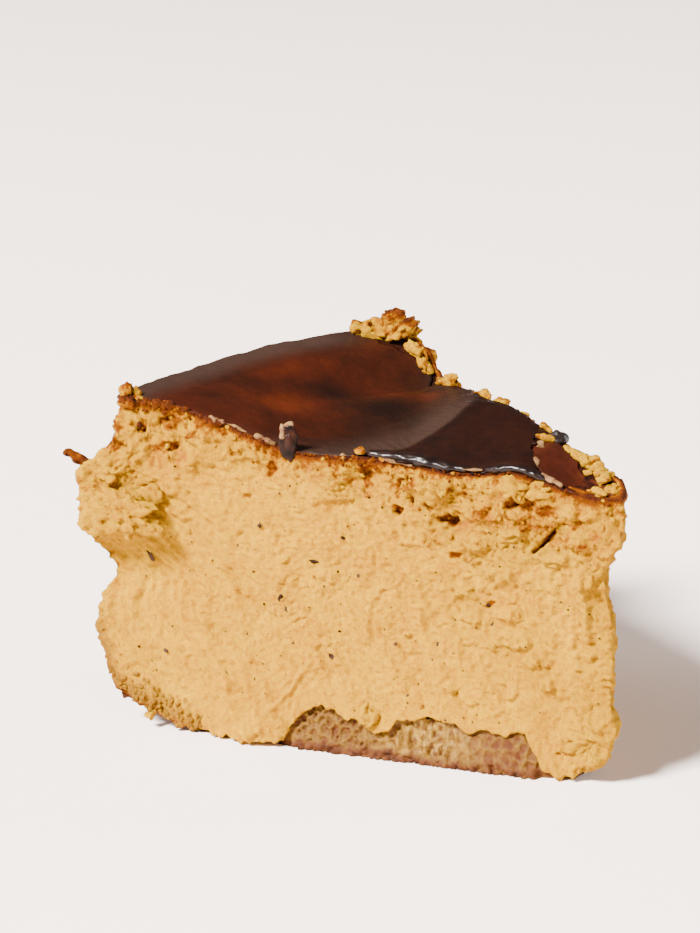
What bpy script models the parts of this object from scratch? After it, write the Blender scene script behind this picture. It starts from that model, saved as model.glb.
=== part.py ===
"""A wedge cut from a tall, burnt-topped baked cheesecake, on its thin sponge base.

The slice points along +X: its rim is at -X and its tip at +X. Y runs across it, from the
front cut (-Y) to the back cut (+Y), and Z is up. The form is worked out in millimetres
and written to the meshes in metres.

A place in the cake is given by r, the distance from the cake's axis (at the slice's tip),
by turn, the angle about that axis in degrees (minus to the front cut, plus to the back
cut), and by z. A place on a cut face is given by s, the distance along the cut from the
top edge of the rim, and by z.
"""

import math

import bmesh
import bpy
from mathutils import Matrix, Vector, noise

MM = 0.001

# The cake
CAKE_R = 94.3          # radius of the rim's top edge
WALL_BULGE = 5.7       # how far the side wall swells past that edge
HALF_TURN = 23.0       # half of the slice's angle, in degrees
TIP_X = 49.75          # the cake's axis, from the middle of the slice
SHIFT_Y = 0.745        # sets the slice's box evenly about the X axis
TIP_R = 1.0            # where the blunt tip ends
TIP_SPREAD = 3.2       # how far the blunt tip spreads to the back

# The top, along each cut: height at the rim and fall per millimetre
FRONT_TOP, FRONT_FALL = 61.8, 0.096
BACK_TOP, BACK_FALL = 63.0, 0.080
FOLD_MID = (-3.0, 6.5)         # a point on the fold that crosses the top, from the slice's middle
FOLD_ACROSS = (0.81, 0.58)     # unit direction from the fold towards the tip
FOLD_DEEP, LOBE_HIGH = 1.4, 1.9

# The sponge base
BASE_THICK = 8.2       # at the tip and in the middle
BASE_RISE = 3.0        # how much higher it climbs at the rim
BASE_FOOT_R = 79.0     # radius of the flat part that it stands on
BASE_HEEL_R = 95.5     # radius of its rounded outer corner
BASE_LIFT = 5.6        # height of that corner
BASE_STEP = 0.6        # how far it stands back from the side wall
BASE_TIP_R = 8.0       # where it ends at the tip
BASE_INSET = 1.9       # how far it stands back from the cuts
GAP = 0.3              # kept between the cream and the base

# How many rows of faces each body has: along, across and up
CREAM_ROWS = (38, 15, 20)
BASE_ROWS = (30, 11, 3)


def hill(x, middle, width):
    """A smooth hill of height 1 at middle, 0.37 at width to either side."""
    return math.exp(-(((x - middle) / width) ** 2))


def ramp(x, start, end):
    """Rises smoothly from 0 at start to 1 at end."""
    t = min(1.0, max(0.0, (x - start) / (end - start)))
    return t * t * (3.0 - 2.0 * t)


def mix(a, b, t):
    return a + (b - a) * t


def lumps(x, y, z, size, seed):
    """Rounded noise between about -1 and 1, in lumps about as wide as size."""
    return 1.6 * noise.noise(Vector((x, y, z)) / size + Vector((seed, 3.1 * seed, 7.7)))


def front_top(s):
    """Height of the top's edge along the front cut: a sag, the curled rim of skin, the tip."""
    sag = 3.2 * hill(s, 35, 12) + 1.0 * hill(s, 52, 9) + 1.2 * hill(s, 64, 7) + 0.8 * hill(s, 89, 4)
    return FRONT_TOP - FRONT_FALL * s - sag + 0.6 * hill(s, 8, 6) + 0.9 * hill(s, 76, 4)


def back_top(s):
    """Height of the top's edge along the back cut, which drops sharply behind the rim."""
    return BACK_TOP - BACK_FALL * s - 3.9 * hill(s, 20, 6) - 2.4 * hill(s, 34, 13) - 0.9 * ramp(s, 84, 94)


def top_height(x, y, r, turn):
    """Height of the baked top: both edges, and between them the fold and the swollen lobe."""
    s = CAKE_R - r
    across = ramp(turn, -HALF_TURN, HALF_TURN)
    t = (x - FOLD_MID[0]) * FOLD_ACROSS[0] + (y - FOLD_MID[1]) * FOLD_ACROSS[1]
    inside = 1.0 - abs(turn / HALF_TURN) ** 4
    fold = -FOLD_DEEP * math.exp(-math.sqrt(t * t + 1.5) / 5.0)
    lobe = LOBE_HIGH * ramp(t, 0, 11) * (1.0 - ramp(t, 16, 38))
    hollow = -0.9 * hill(t, -10, 10)
    swell = 0.4 * lumps(x, y, 0, 22, 4.0) * ramp(r, 10, 30) - 0.7 * hill(turn, -9, 9) * ramp(r, 60, 90)
    return mix(front_top(s), back_top(s), across) + inside * (fold + lobe + hollow + swell)


def crumbly(s, z):
    """1 in the crumbly band under the top, 0 in the smooth cream below it."""
    line = 50.0 - 13.0 * hill(s, 0, 10) - 15.0 * ramp(s, 48, 88)
    return ramp(z, line - 4.0, line + 4.0)


def front_cut(s, z):
    """How far the front cut stands out from its plane."""
    out = 3.4 * hill(s, 27, 8) * hill(z, 0, 8)
    out += 2.4 * hill(s, 56, 8) * hill(z, 0, 7)
    out += 2.6 * hill(s, 4, 5.5) * hill(z, 40.5, 4.5)
    out -= 1.6 * hill(s, 6, 9) * hill(z, 29, 5)
    out -= 1.3 * hill(s, 13, 5) * hill(z, 55, 3.5)
    out += 1.4 * hill(s, 78, 5) * hill(z, 49, 3) - 1.3 * hill(s, 82, 5) * hill(z, 43, 2.5)
    out -= 0.7 * hill(z, 24, 12)
    crag = 0.9 * lumps(s, 0, z, 7.5, 1.0) + 0.35
    smear = 0.25 * lumps(s * 1.6, 0, z * 0.7, 12, 2.0)
    return out + mix(smear, crag, crumbly(s, z))


def back_cut(s, z):
    """How far the back cut stands out from its plane. It was torn a little more."""
    out = 1.6 * hill(s, 40, 16) * hill(z, 2, 8) - 1.0 * hill(z, 27, 11)
    out += 1.8 * hill(s, 10, 8) * hill(z, 52, 6) - 1.5 * hill(s, 24, 6) * hill(z, 50, 6)
    crag = 1.0 * lumps(s, 40, z, 8, 5.0) + 0.3
    smear = 0.45 * lumps(s * 1.3, 40, z * 0.8, 12, 6.0)
    return out + mix(smear, crag, crumbly(94 - s, z))


def wall(turn, z):
    """Radius of the side wall: it swells, and has creases where the paper lining folded."""
    swell = WALL_BULGE * ramp(62.0 - z, 0, 17) - 3.4 * ramp(18.0 - z, 0, 14)
    corner = 2.6 * hill(z, 47, 4.5) + 1.0 * hill(z, 36, 4) - 4.6 * hill(z, 28.5, 4.2)
    creases = 0.0
    for at, slant, deep in ((-13.5, 0.06, 1.5), (-3.0, -0.05, 2.1), (7.5, 0.04, 1.4), (16.0, -0.07, 1.8)):
        creases += deep * hill(turn, at + slant * (z - 30), 1.9)
    soft = 0.8 * lumps(turn, 0, z / 1.6, 9, 8.0)
    return CAKE_R + swell + corner * hill(turn, -HALF_TURN, 6) - creases * ramp(62.0 - z, 2, 14) + soft * ramp(62.0 - z, 0, 8)


def tip_reach(r, z):
    """How far the end at the tip stands out at each height, or back at its foot."""
    head = 2.0 * ramp(z, 42, 46) - 1.9 * hill(z, 37, 4.5)
    body = 0.2 * ramp(z, 8, 12) * (1 - ramp(z, 28, 34)) + 1.4 * hill(z, 10.5, 2.2)
    foot = 4.4 * (1 - ramp(z, 0.5, 7.5)) * max(0.0, 1 - (r - TIP_R) / (BASE_TIP_R - GAP - 0.5 - TIP_R))
    return (head + body) * (1 - ramp(r, TIP_R, 12)) * ramp(z, 6, 9) - foot


def base_top(r):
    return BASE_THICK + BASE_RISE * ramp(r, 74, 100) ** 1.4


def base_foot(r):
    """Underside of the base: flat, then curved up to its rounded outer corner."""
    t = max(0.0, (r - BASE_FOOT_R) / (BASE_HEEL_R - BASE_FOOT_R))
    return BASE_LIFT * t ** 1.5


def front_skirt(s):
    """How far down the cream hangs over the base on the front cut, from 0 to 1."""
    return 1 - ramp(s, 31, 38.5) + ramp(s, 77, 83)


def back_skirt(s):
    return 1 - ramp(s, 6, 15) + 0.8 * ramp(s, 30, 38) * (1 - ramp(s, 50, 58)) + ramp(s, 74, 82)


def hem(s):
    """Height of the edge of the cream that hangs over the base."""
    return base_foot(CAKE_R - s) + 0.5 + 1.0 * (1 - ramp(s, 3, 16)) + 1.6 * ramp(s, 84, 92)


def plan(r, turn, front, back, end):
    """The place of (r, turn) seen from above, with the cuts and an end face pushed out."""
    a = math.radians(turn)
    x, y = -r * math.cos(a), r * math.sin(a)
    h = math.radians(HALF_TURN)
    to_front = max(0.0, -turn / HALF_TURN) ** 3
    to_back = max(0.0, turn / HALF_TURN) ** 3
    x += (front * to_front + back * to_back) * math.sin(h)
    y += (back * to_back - front * to_front) * math.cos(h)
    near_tip = (1.0 - ramp(r, 0, 22)) * 0.5 * (1.0 + turn / HALF_TURN)
    y += TIP_SPREAD * near_tip
    x -= 1.1 * TIP_SPREAD * near_tip ** 2
    return x + TIP_X + end, y + SHIFT_Y


def block(rows):
    """A closed block of rows of faces, with whole-number corners from 0 to rows."""
    bm = bmesh.new()
    bmesh.ops.create_cube(bm, size=1.0)
    bmesh.ops.scale(bm, vec=rows, verts=bm.verts)
    bmesh.ops.translate(bm, vec=Vector(rows) / 2, verts=bm.verts)
    for axis in range(3):
        normal = Vector((0, 0, 0))
        normal[axis] = 1
        for n in range(1, rows[axis]):
            everything = bm.verts[:] + bm.edges[:] + bm.faces[:]
            bmesh.ops.bisect_plane(bm, geom=everything, plane_co=normal * n, plane_no=normal)
    return bm


def add_object(name, bm, colour, roughness):
    mesh = bpy.data.meshes.new(name)
    bm.to_mesh(mesh)
    bm.free()
    mesh.shade_smooth()
    obj = bpy.data.objects.new(name, mesh)
    bpy.context.scene.collection.objects.link(obj)
    material = bpy.data.materials.new(name)
    material.use_nodes = True
    shader = material.node_tree.nodes["Principled BSDF"]
    shader.inputs["Base Color"].default_value = (*colour, 1)
    shader.inputs["Roughness"].default_value = roughness
    mesh.materials.append(material)
    return obj


def inset_turn(r, inset):
    """The angle that lies inset millimetres inside a cut at radius r."""
    return math.degrees(math.asin(min(0.3, inset / max(r, 1.0))))


def cream_turns(r, count):
    """Angles of the cream's rows: the edge and the lip over the base at each cut, then even steps."""
    lips = [0.0, inset_turn(r, 0.6 * (BASE_INSET - GAP)), inset_turn(r, BASE_INSET - GAP)]
    inner = HALF_TURN - lips[-1]
    steps = count - 4
    middle = [mix(-inner, inner, k / steps) for k in range(1, steps)]
    return [-HALF_TURN + a for a in lips] + middle + [HALF_TURN - a for a in reversed(lips)]


def cream_radii(count):
    """Radii of the cream's rows: the tip, the lip over the base's end, then even steps."""
    lip = [TIP_R, 4.2, BASE_TIP_R - GAP - 0.5, BASE_TIP_R - GAP]
    steps = count - 3
    return lip + [mix(lip[-1], CAKE_R, k / steps) for k in range(1, steps + 1)]


def wall_radius(r, turn, z):
    """Radius r let out towards the rim, so that the outermost row lies on the side wall."""
    return mix(r, r * wall(turn, z) / CAKE_R, ramp(r, 55, CAKE_R))


def foot_cuts(s):
    """How far the hidden faces between cream and base follow the cuts."""
    return min(0.0, front_cut(s, 4.0)), min(0.0, back_cut(s, 4.0))


def cream_point(r, turn, w, lip):
    """A point of the cream, w of the way up from its underside to its top.

    lip is 0 on the hem, 1 on the edge of the hollow for the base and 2 over the base.
    """
    s = CAKE_R - r
    x0, y0 = plan(r, turn, 0, 0, 0)
    high = top_height(x0, y0, r, turn)
    hang = min(1.0, mix(front_skirt(s), back_skirt(s), ramp(turn, -4, 4)))
    low = base_top(wall_radius(r, turn, 10.0)) + GAP + 0.1
    if lip < 2:
        low = mix(low, hem(s), hang)
    z = mix(low, high, w)
    front, back = foot_cuts(s) if lip and w == 0 else (front_cut(s, z), back_cut(s, z))
    grip = ramp(r, -2, 9)
    out_r = wall_radius(r, turn, z)
    x, y = plan(out_r, turn, front * grip, back * grip, tip_reach(r, z))
    return Vector((x, y, z)) * MM


def make_cream():
    along, across, up = CREAM_ROWS
    bm = block(CREAM_ROWS)
    radii = cream_radii(along)
    for vert in bm.verts:
        i, j, k = (round(c) for c in vert.co)
        r = radii[i]
        turn = cream_turns(r, across)[j]
        lip = min(2, max(0, i - 1), j, across - j)
        vert.co = cream_point(r, turn, (k / up) ** 0.9, lip)
    bmesh.ops.recalc_face_normals(bm, faces=bm.faces)
    return add_object("cream", bm, (0.9, 0.56, 0.22), 0.5)


def make_base():
    along, across, up = BASE_ROWS
    bm = block(BASE_ROWS)
    for vert in bm.verts:
        i, j, k = vert.co
        w = k / up
        outer = wall(0.0, 10.0) - BASE_STEP - 1.6 * (1 - w)
        r = mix(BASE_TIP_R, outer, i / along)
        side = front_skirt(CAKE_R - r) if j < across / 2 else back_skirt(CAKE_R - r)
        shown = (0.9 + 1.5 * (1 - w)) * (1 - min(1.0, 2.5 * side)) ** 2
        inset = BASE_INSET - shown + 0.35 * abs(lumps(r, j, w * 6, 6, 9.0)) - 0.55 * (1 - w)
        reach = HALF_TURN - inset_turn(r, inset)
        turn = mix(-reach, reach, j / across)
        z = mix(base_foot(r), base_top(r), w)
        x, y = plan(r, turn, *foot_cuts(CAKE_R - r), 0)
        vert.co = Vector((x, y, z)) * MM
    bmesh.ops.recalc_face_normals(bm, faces=bm.faces)
    return add_object("base", bm, (0.45, 0.24, 0.1), 0.8)


def on_front(s, z, out):
    """A point on the front cut, out millimetres proud of it."""
    r = CAKE_R - s
    x, y = plan(r, -HALF_TURN, front_cut(s, z) + out, 0, 0)
    return Vector((x, y, z))


def on_top(r, turn, lift):
    x, y = plan(r, turn, 0, 0, 0)
    return Vector((x, y, top_height(x, y, r, turn) + lift))


def crumb(place, size, seed, detail, lean=0.0, yaw=0.0):
    """A torn crumb: a ball of the given half-sizes with a rough skin, turned by yaw and lean."""
    bm = bmesh.new()
    bmesh.ops.create_icosphere(bm, subdivisions=detail, radius=1.0)
    for vert in bm.verts:
        vert.co *= 1.0 + 0.34 * lumps(*vert.co, 0.8, seed)
    turned = Matrix.Rotation(math.radians(yaw), 4, "Z") @ Matrix.Rotation(math.radians(lean), 4, "Y")
    placed = Matrix.Translation(place) @ turned @ Matrix.Diagonal((*size, 1.0))
    bmesh.ops.transform(bm, matrix=Matrix.Scale(MM, 4) @ placed, verts=bm.verts)
    return bm


def torn_pieces():
    """What stands proud of the cut: crumbs, flaps of burnt skin and the flake at the rim."""
    cut_yaw = HALF_TURN
    yield crumb(on_top(90.5, 21.3, 0.4), (5.2, 3.4, 3.6), 11, 3, 0, 30)      # the torn back corner
    yield crumb(on_top(91.5, 22.0, 3.0), (2.9, 2.0, 2.1), 12, 2, 25, 20)
    yield crumb(on_top(86.0, 21.3, 2.6), (2.7, 2.0, 1.5), 13, 2, -25, 60)
    yield crumb(on_top(93.0, 18.2, 0.8), (2.1, 1.7, 2.0), 26, 2, 0, 0)
    yield crumb(on_top(81.5, 22.0, -0.6), (3.6, 1.8, 1.9), 14, 2, 20, -23)
    yield crumb(on_top(67.5, 21.6, 0.4), (3.3, 1.8, 1.6), 15, 2, 0, -20)
    yield crumb(on_top(54.5, 22.2, 0.2), (1.5, 1.2, 1.2), 16, 2, 0, 10)
    yield crumb(on_top(47.2, 22.4, 0.0), (1.6, 1.2, 1.1), 17, 2, 0, 40)
    yield crumb(on_top(38.0, 22.2, 0.0), (1.3, 1.0, 0.9), 27, 2, 0, 15)
    yield crumb(on_top(28.5, 22.0, 0.0), (1.6, 1.2, 1.1), 28, 2, 0, -15)
    yield crumb(on_top(20.3, 20.5, 0.5), (2.0, 1.5, 1.4), 18, 2, 0, 20)      # a burnt knob
    yield crumb(on_top(15.0, 19.0, 0.0), (2.2, 1.3, 1.2), 19, 2, 5, -25)
    yield crumb(on_top(4.5, -6.0, 0.1), (2.0, 1.4, 1.0), 20, 2, 0, 0)
    yield crumb(on_top(93.8, -22.3, 0.5), (1.5, 1.2, 1.5), 21, 2, 0, 0)      # the front corner
    yield crumb(on_front(34.5, 53.6, 0.3), (1.4, 1.2, 3.7), 22, 2, 6, cut_yaw)   # a pressed flap
    yield crumb(on_front(77.5, 50.5, 0.4), (4.2, 1.6, 2.0), 23, 2, 18, cut_yaw)
    yield crumb(on_front(4.5, 40.5, 0.2), (5.0, 1.9, 3.8), 24, 3, 15, cut_yaw)   # the left clump
    yield crumb(on_front(-6.9, 48.8, -1.6), (4.6, 1.8, 0.8), 25, 2, 24, cut_yaw)  # the rim's flake


def fuse(body, pieces):
    """Joins closed pieces to a body with one Boolean union, then removes them."""
    group = bpy.data.collections.new("pieces")
    bpy.context.scene.collection.children.link(group)
    for bm in pieces:
        mesh = bpy.data.meshes.new("piece")
        bm.to_mesh(mesh)
        bm.free()
        group.objects.link(bpy.data.objects.new("piece", mesh))
    union = body.modifiers.new("union", "BOOLEAN")
    union.operation = "UNION"
    union.operand_type = "COLLECTION"
    union.collection = group
    union.solver = "EXACT"
    graph = bpy.context.evaluated_depsgraph_get()
    joined = bpy.data.meshes.new_from_object(body.evaluated_get(graph))
    body.modifiers.clear()
    body.data = joined
    for obj in list(group.objects):
        bpy.data.objects.remove(obj)
    bpy.data.collections.remove(group)


def main():
    for obj in list(bpy.data.objects):
        bpy.data.objects.remove(obj)
    fuse(make_cream(), torn_pieces())
    make_base()


main()
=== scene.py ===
import itertools
import math

import bmesh
import bpy
import numpy as np
from mathutils import Matrix, Vector, noise


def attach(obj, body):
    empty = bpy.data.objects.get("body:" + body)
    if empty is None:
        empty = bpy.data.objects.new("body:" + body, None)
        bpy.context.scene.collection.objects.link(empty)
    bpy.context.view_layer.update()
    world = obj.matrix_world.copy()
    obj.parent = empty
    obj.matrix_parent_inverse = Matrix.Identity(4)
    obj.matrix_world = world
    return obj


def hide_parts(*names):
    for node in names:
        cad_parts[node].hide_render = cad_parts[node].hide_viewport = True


MM = 0.001

# The cake, as in its solids: millimetres, the slice's tip towards +X, its front cut at -Y
CAKE_R = 94.3
WALL_BULGE = 5.7
HALF_TURN = 23.0
TIP_X = 49.75
SHIFT_Y = 0.745
TIP_R = 1.0
TIP_SPREAD = 3.2
FRONT_TOP, FRONT_FALL = 61.8, 0.096
BACK_TOP, BACK_FALL = 63.0, 0.080
FOLD_MID = (-3.0, 6.5)
FOLD_ACROSS = (0.81, 0.58)
FOLD_DEEP, LOBE_HIGH = 1.4, 1.9
BASE_THICK = 8.2
BASE_RISE = 3.0
BASE_FOOT_R = 79.0
BASE_HEEL_R = 95.5
BASE_LIFT = 5.6
BASE_STEP = 0.6
BASE_TIP_R = 8.0
BASE_INSET = 1.9
GAP = 0.3
ROWS = (38, 15, 20)      # the solid's rows: along, across and up

CREAM_FACES = ((168, 24, 98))


def hill(x, middle, width):
    """A smooth hill of height 1 at middle, 0.37 at width to either side."""
    return np.exp(-(((np.asarray(x) - middle) / width) ** 2))


def ramp(x, start, end):
    """Rises smoothly from 0 at start to 1 at end."""
    t = np.clip((np.asarray(x) - start) / (end - start), 0.0, 1.0)
    return t * t * (3.0 - 2.0 * t)


def mix(a, b, t):
    return a + (b - a) * t


def lumps(x, y, z, size, seed):
    """Rounded noise between about -1 and 1, in lumps about as wide as size."""
    x, y, z = np.broadcast_arrays(x, y, z)
    places = np.stack([x.ravel(), y.ravel(), z.ravel()], -1) / size + (seed, 3.1 * seed, 7.7)
    return 1.6 * np.array([noise.noise(Vector(p)) for p in places]).reshape(x.shape)


# The cake's surfaces, the same as its solids'

def front_top(s):
    sag = 3.2 * hill(s, 35, 12) + 1.0 * hill(s, 52, 9) + 1.2 * hill(s, 64, 7) + 0.8 * hill(s, 89, 4)
    return FRONT_TOP - FRONT_FALL * s - sag + 0.6 * hill(s, 8, 6) + 0.9 * hill(s, 76, 4)


def back_top(s):
    return BACK_TOP - BACK_FALL * s - 3.9 * hill(s, 20, 6) - 2.4 * hill(s, 34, 13) - 0.9 * ramp(s, 84, 94)


def fold_side(x, y):
    """Distance from the fold that crosses the top, plus towards the tip."""
    return (x - FOLD_MID[0]) * FOLD_ACROSS[0] + (y - FOLD_MID[1]) * FOLD_ACROSS[1]


def top_height(x, y, r, turn):
    s = CAKE_R - r
    across = ramp(turn, -HALF_TURN, HALF_TURN)
    t = fold_side(x, y)
    inside = 1.0 - np.abs(turn / HALF_TURN) ** 4
    fold = -FOLD_DEEP * np.exp(-np.sqrt(t * t + 1.5) / 5.0)
    lobe = LOBE_HIGH * ramp(t, 0, 11) * (1.0 - ramp(t, 16, 38))
    hollow = -0.9 * hill(t, -10, 10)
    swell = 0.4 * lumps(x, y, 0, 22, 4.0) * ramp(r, 10, 30) - 0.7 * hill(turn, -9, 9) * ramp(r, 60, 90)
    return mix(front_top(s), back_top(s), across) + inside * (fold + lobe + hollow + swell)


def crumbly(s, z):
    line = 50.0 - 13.0 * hill(s, 0, 10) - 15.0 * ramp(s, 48, 88)
    return ramp(z, line - 4.0, line + 4.0)


def front_cut(s, z):
    out = 3.4 * hill(s, 27, 8) * hill(z, 0, 8)
    out = out + 2.4 * hill(s, 56, 8) * hill(z, 0, 7)
    out = out + 2.6 * hill(s, 4, 5.5) * hill(z, 40.5, 4.5)
    out = out - 1.6 * hill(s, 6, 9) * hill(z, 29, 5)
    out = out - 1.3 * hill(s, 13, 5) * hill(z, 55, 3.5)
    out = out + 1.4 * hill(s, 78, 5) * hill(z, 49, 3) - 1.3 * hill(s, 82, 5) * hill(z, 43, 2.5)
    out = out - 0.7 * hill(z, 24, 12)
    crag = 0.9 * lumps(s, 0, z, 7.5, 1.0) + 0.35
    smear = 0.25 * lumps(s * 1.6, 0, z * 0.7, 12, 2.0)
    return out + mix(smear, crag, crumbly(s, z))


def back_cut(s, z):
    out = 1.6 * hill(s, 40, 16) * hill(z, 2, 8) - 1.0 * hill(z, 27, 11)
    out = out + 1.8 * hill(s, 10, 8) * hill(z, 52, 6) - 1.5 * hill(s, 24, 6) * hill(z, 50, 6)
    crag = 1.0 * lumps(s, 40, z, 8, 5.0) + 0.3
    smear = 0.45 * lumps(s * 1.3, 40, z * 0.8, 12, 6.0)
    return out + mix(smear, crag, crumbly(94 - s, z))


def wall(turn, z):
    swell = WALL_BULGE * ramp(62.0 - z, 0, 17) - 3.4 * ramp(18.0 - z, 0, 14)
    corner = 2.6 * hill(z, 47, 4.5) + 1.0 * hill(z, 36, 4) - 4.6 * hill(z, 28.5, 4.2)
    creases = 0.0
    for at, slant, deep in ((-13.5, 0.06, 1.5), (-3.0, -0.05, 2.1), (7.5, 0.04, 1.4), (16.0, -0.07, 1.8)):
        creases = creases + deep * hill(turn, at + slant * (z - 30), 1.9)
    soft = 0.8 * lumps(turn, 0, z / 1.6, 9, 8.0)
    out = CAKE_R + swell + corner * hill(turn, -HALF_TURN, 6)
    return out - creases * ramp(62.0 - z, 2, 14) + soft * ramp(62.0 - z, 0, 8)


def tip_reach(r, z):
    head = 2.0 * ramp(z, 42, 46) - 1.9 * hill(z, 37, 4.5)
    body = 0.2 * ramp(z, 8, 12) * (1 - ramp(z, 28, 34)) + 1.4 * hill(z, 10.5, 2.2)
    inward = np.maximum(0.0, 1 - (r - TIP_R) / (BASE_TIP_R - GAP - 0.5 - TIP_R))
    foot = 4.4 * (1 - ramp(z, 0.5, 7.5)) * inward
    return (head + body) * (1 - ramp(r, TIP_R, 12)) * ramp(z, 6, 9) - foot


def base_top(r):
    return BASE_THICK + BASE_RISE * ramp(r, 74, 100) ** 1.4


def base_foot(r):
    t = np.maximum(0.0, (r - BASE_FOOT_R) / (BASE_HEEL_R - BASE_FOOT_R))
    return BASE_LIFT * t ** 1.5


def front_skirt(s):
    return 1 - ramp(s, 31, 38.5) + ramp(s, 77, 83)


def back_skirt(s):
    return 1 - ramp(s, 6, 15) + 0.8 * ramp(s, 30, 38) * (1 - ramp(s, 50, 58)) + ramp(s, 74, 82)


def front_hang(s, over):
    """How far the cream hangs over the base at the front cut, with a ragged edge between."""
    edge = 8.3 + 0.6 * lumps(s, 0, 0, 1.7, 91.0) - 3.4 * hill(s, 50.5, 2.6) - 1.6 * hill(s, 46, 4)
    edge = edge - 1.2 * hill(s, 70, 5) + 0.5 * hill(s, 60, 3) - 4.6 * (1 - ramp(s, 33, 38))
    ragged = np.clip((over - edge) / np.maximum(over - hem(s), 1), 0, 1)
    return np.maximum(ragged, front_skirt(s - 0.8 * lumps(s, 3, 0, 3, 92.0)))


def hem(s):
    return base_foot(CAKE_R - s) + 0.5 + 1.0 * (1 - ramp(s, 3, 16)) + 1.6 * ramp(s, 84, 92)


def plan(r, turn, front, back, end):
    """The place of (r, turn) seen from above, with the cuts and an end face pushed out."""
    a = np.radians(turn)
    x, y = -r * np.cos(a), r * np.sin(a)
    h = math.radians(HALF_TURN)
    to_front = np.maximum(0.0, -turn / HALF_TURN) ** 3
    to_back = np.maximum(0.0, turn / HALF_TURN) ** 3
    x = x + (front * to_front + back * to_back) * math.sin(h)
    y = y + (back * to_back - front * to_front) * math.cos(h)
    near_tip = (1.0 - ramp(r, 0, 22)) * 0.5 * (1.0 + turn / HALF_TURN)
    y = y + TIP_SPREAD * near_tip
    x = x - 1.1 * TIP_SPREAD * near_tip ** 2
    return x + TIP_X + end, y + SHIFT_Y


def inset_turn(r, inset):
    return np.degrees(np.arcsin(np.minimum(0.3, inset / np.maximum(r, 1.0))))


def wall_radius(r, turn, z):
    return mix(r, r * wall(turn, z) / CAKE_R, ramp(r, 55, CAKE_R))


def foot_cuts(s):
    return np.minimum(0.0, front_cut(s, 4.0)), np.minimum(0.0, back_cut(s, 4.0))


def row_radius(i):
    return mix(TIP_R, CAKE_R, i / ROWS[0])


def tip_lip(r):
    """Counts the rows of the lip that hangs over the base's end: 0 at the tip, 2 where it ends."""
    return np.interp(r, (4.2, BASE_TIP_R - GAP - 0.5, BASE_TIP_R - GAP), (0, 1, 2))


def row_turn(r, j):
    """The angle of row j: the edge and the lip over the base at each cut, then even steps."""
    across = ROWS[1]
    low = inset_turn(r, 0.6 * (BASE_INSET - GAP))
    high = inset_turn(r, BASE_INSET - GAP)
    from_edge = np.minimum(j, across - j)
    lip = np.where(from_edge < 1, low * from_edge, mix(low, high, np.clip(from_edge - 1, 0, 1)))
    edge = np.where(j < across / 2, -1, 1) * (HALF_TURN - lip)
    inner = HALF_TURN - high
    middle = mix(-inner, inner, (j - 2) / (across - 4))
    return np.where(from_edge <= 2, edge, middle)


def cream_place(i, j, k):
    """Where a point of the cream lies, from its row along, across and up."""
    along, across, up = ROWS
    r = row_radius(i)
    turn = row_turn(r, j)
    s = CAKE_R - r
    w = (np.maximum(k, 0) / up) ** 0.9
    x0, y0 = plan(r, turn, 0, 0, 0)
    high = top_height(x0, y0, r, turn)
    over = base_top(wall_radius(r, turn, 10.0)) + GAP + 0.1
    ragged_back = back_skirt(s - 1.5 * lumps(s, 5, 0, 4, 93.0)) + 0.12 * lumps(s, 6, 0, 2, 94.0)
    hang = np.clip(mix(front_hang(s, over), ragged_back, ramp(turn, -4, 4)), 0, 1)
    lip = np.minimum.reduce([tip_lip(r), j, across - j])
    low = mix(over, hem(s), hang * (1 - np.clip(lip - 1, 0, 1)))
    z = mix(low, high, w)
    hidden = (k < 0.001) & (lip > 0.5)
    foot_front, foot_back = foot_cuts(s)
    front = np.where(hidden, foot_front, front_cut(s, z))
    back = np.where(hidden, foot_back, back_cut(s, z))
    grip = ramp(r, -2, 9)
    x, y = plan(wall_radius(r, turn, z), turn, front * grip, back * grip, tip_reach(r, z))
    return np.stack([x, y, z], -1), s, turn, high - z


# Mesh helpers

def block(faces, rows):
    """A closed block with this many faces each way, stretched to measure rows each way.

    Its faces look inward, because the rows run so that they look outward once it is placed.
    """
    bm = bmesh.new()
    size = Matrix.Diagonal((*rows, 1)) @ Matrix.Translation((0.5, 0.5, 0.5))
    turns = {
        2: (Matrix.Identity(4), 0, 1),
        1: (Matrix.Rotation(math.radians(90), 4, "X"), 0, 2),
        0: (Matrix.Rotation(math.radians(90), 4, "Y") @ Matrix.Rotation(math.radians(90), 4, "Z"), 1, 2),
    }
    for axis, (turn, first, second) in turns.items():
        for side in (-0.5, 0.5):
            offset = Vector((0, 0, 0))
            offset[axis] = side
            place = size @ Matrix.Translation(offset) @ turn
            bmesh.ops.create_grid(bm, x_segments=faces[first], y_segments=faces[second], size=0.5, matrix=place)
    bmesh.ops.remove_doubles(bm, verts=bm.verts, dist=0.0005)
    bmesh.ops.recalc_face_normals(bm, faces=bm.faces)
    bmesh.ops.reverse_faces(bm, faces=bm.faces)
    return bm


def coords(bm):
    return np.array([v.co for v in bm.verts])


def place_verts(bm, places):
    """Moves every vertex to its place, given in millimetres."""
    for vert, place in zip(bm.verts, places * MM):
        vert.co = place


def normals(bm):
    bm.normal_update()
    return np.array([v.normal for v in bm.verts])


def finish_piece(name, bm, material, marks=None, angle=180):
    """Makes a piece from a bmesh, with its material and its named marks, one number a vertex."""
    mesh = bpy.data.meshes.new(name)
    bm.to_mesh(mesh)
    bm.free()
    for mark, values in (marks or {}).items():
        layer = mesh.attributes.new(mark, "FLOAT", "POINT")
        layer.data.foreach_set("value", np.ascontiguousarray(values, dtype=np.float32))
    mesh.shade_smooth()
    if angle < 180:
        mesh.set_sharp_from_angle(angle=math.radians(angle))
    mesh.materials.append(material)
    piece = bpy.data.objects.new(name, mesh)
    bpy.context.scene.collection.objects.link(piece)
    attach(piece, "root")
    return piece


# Materials

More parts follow.
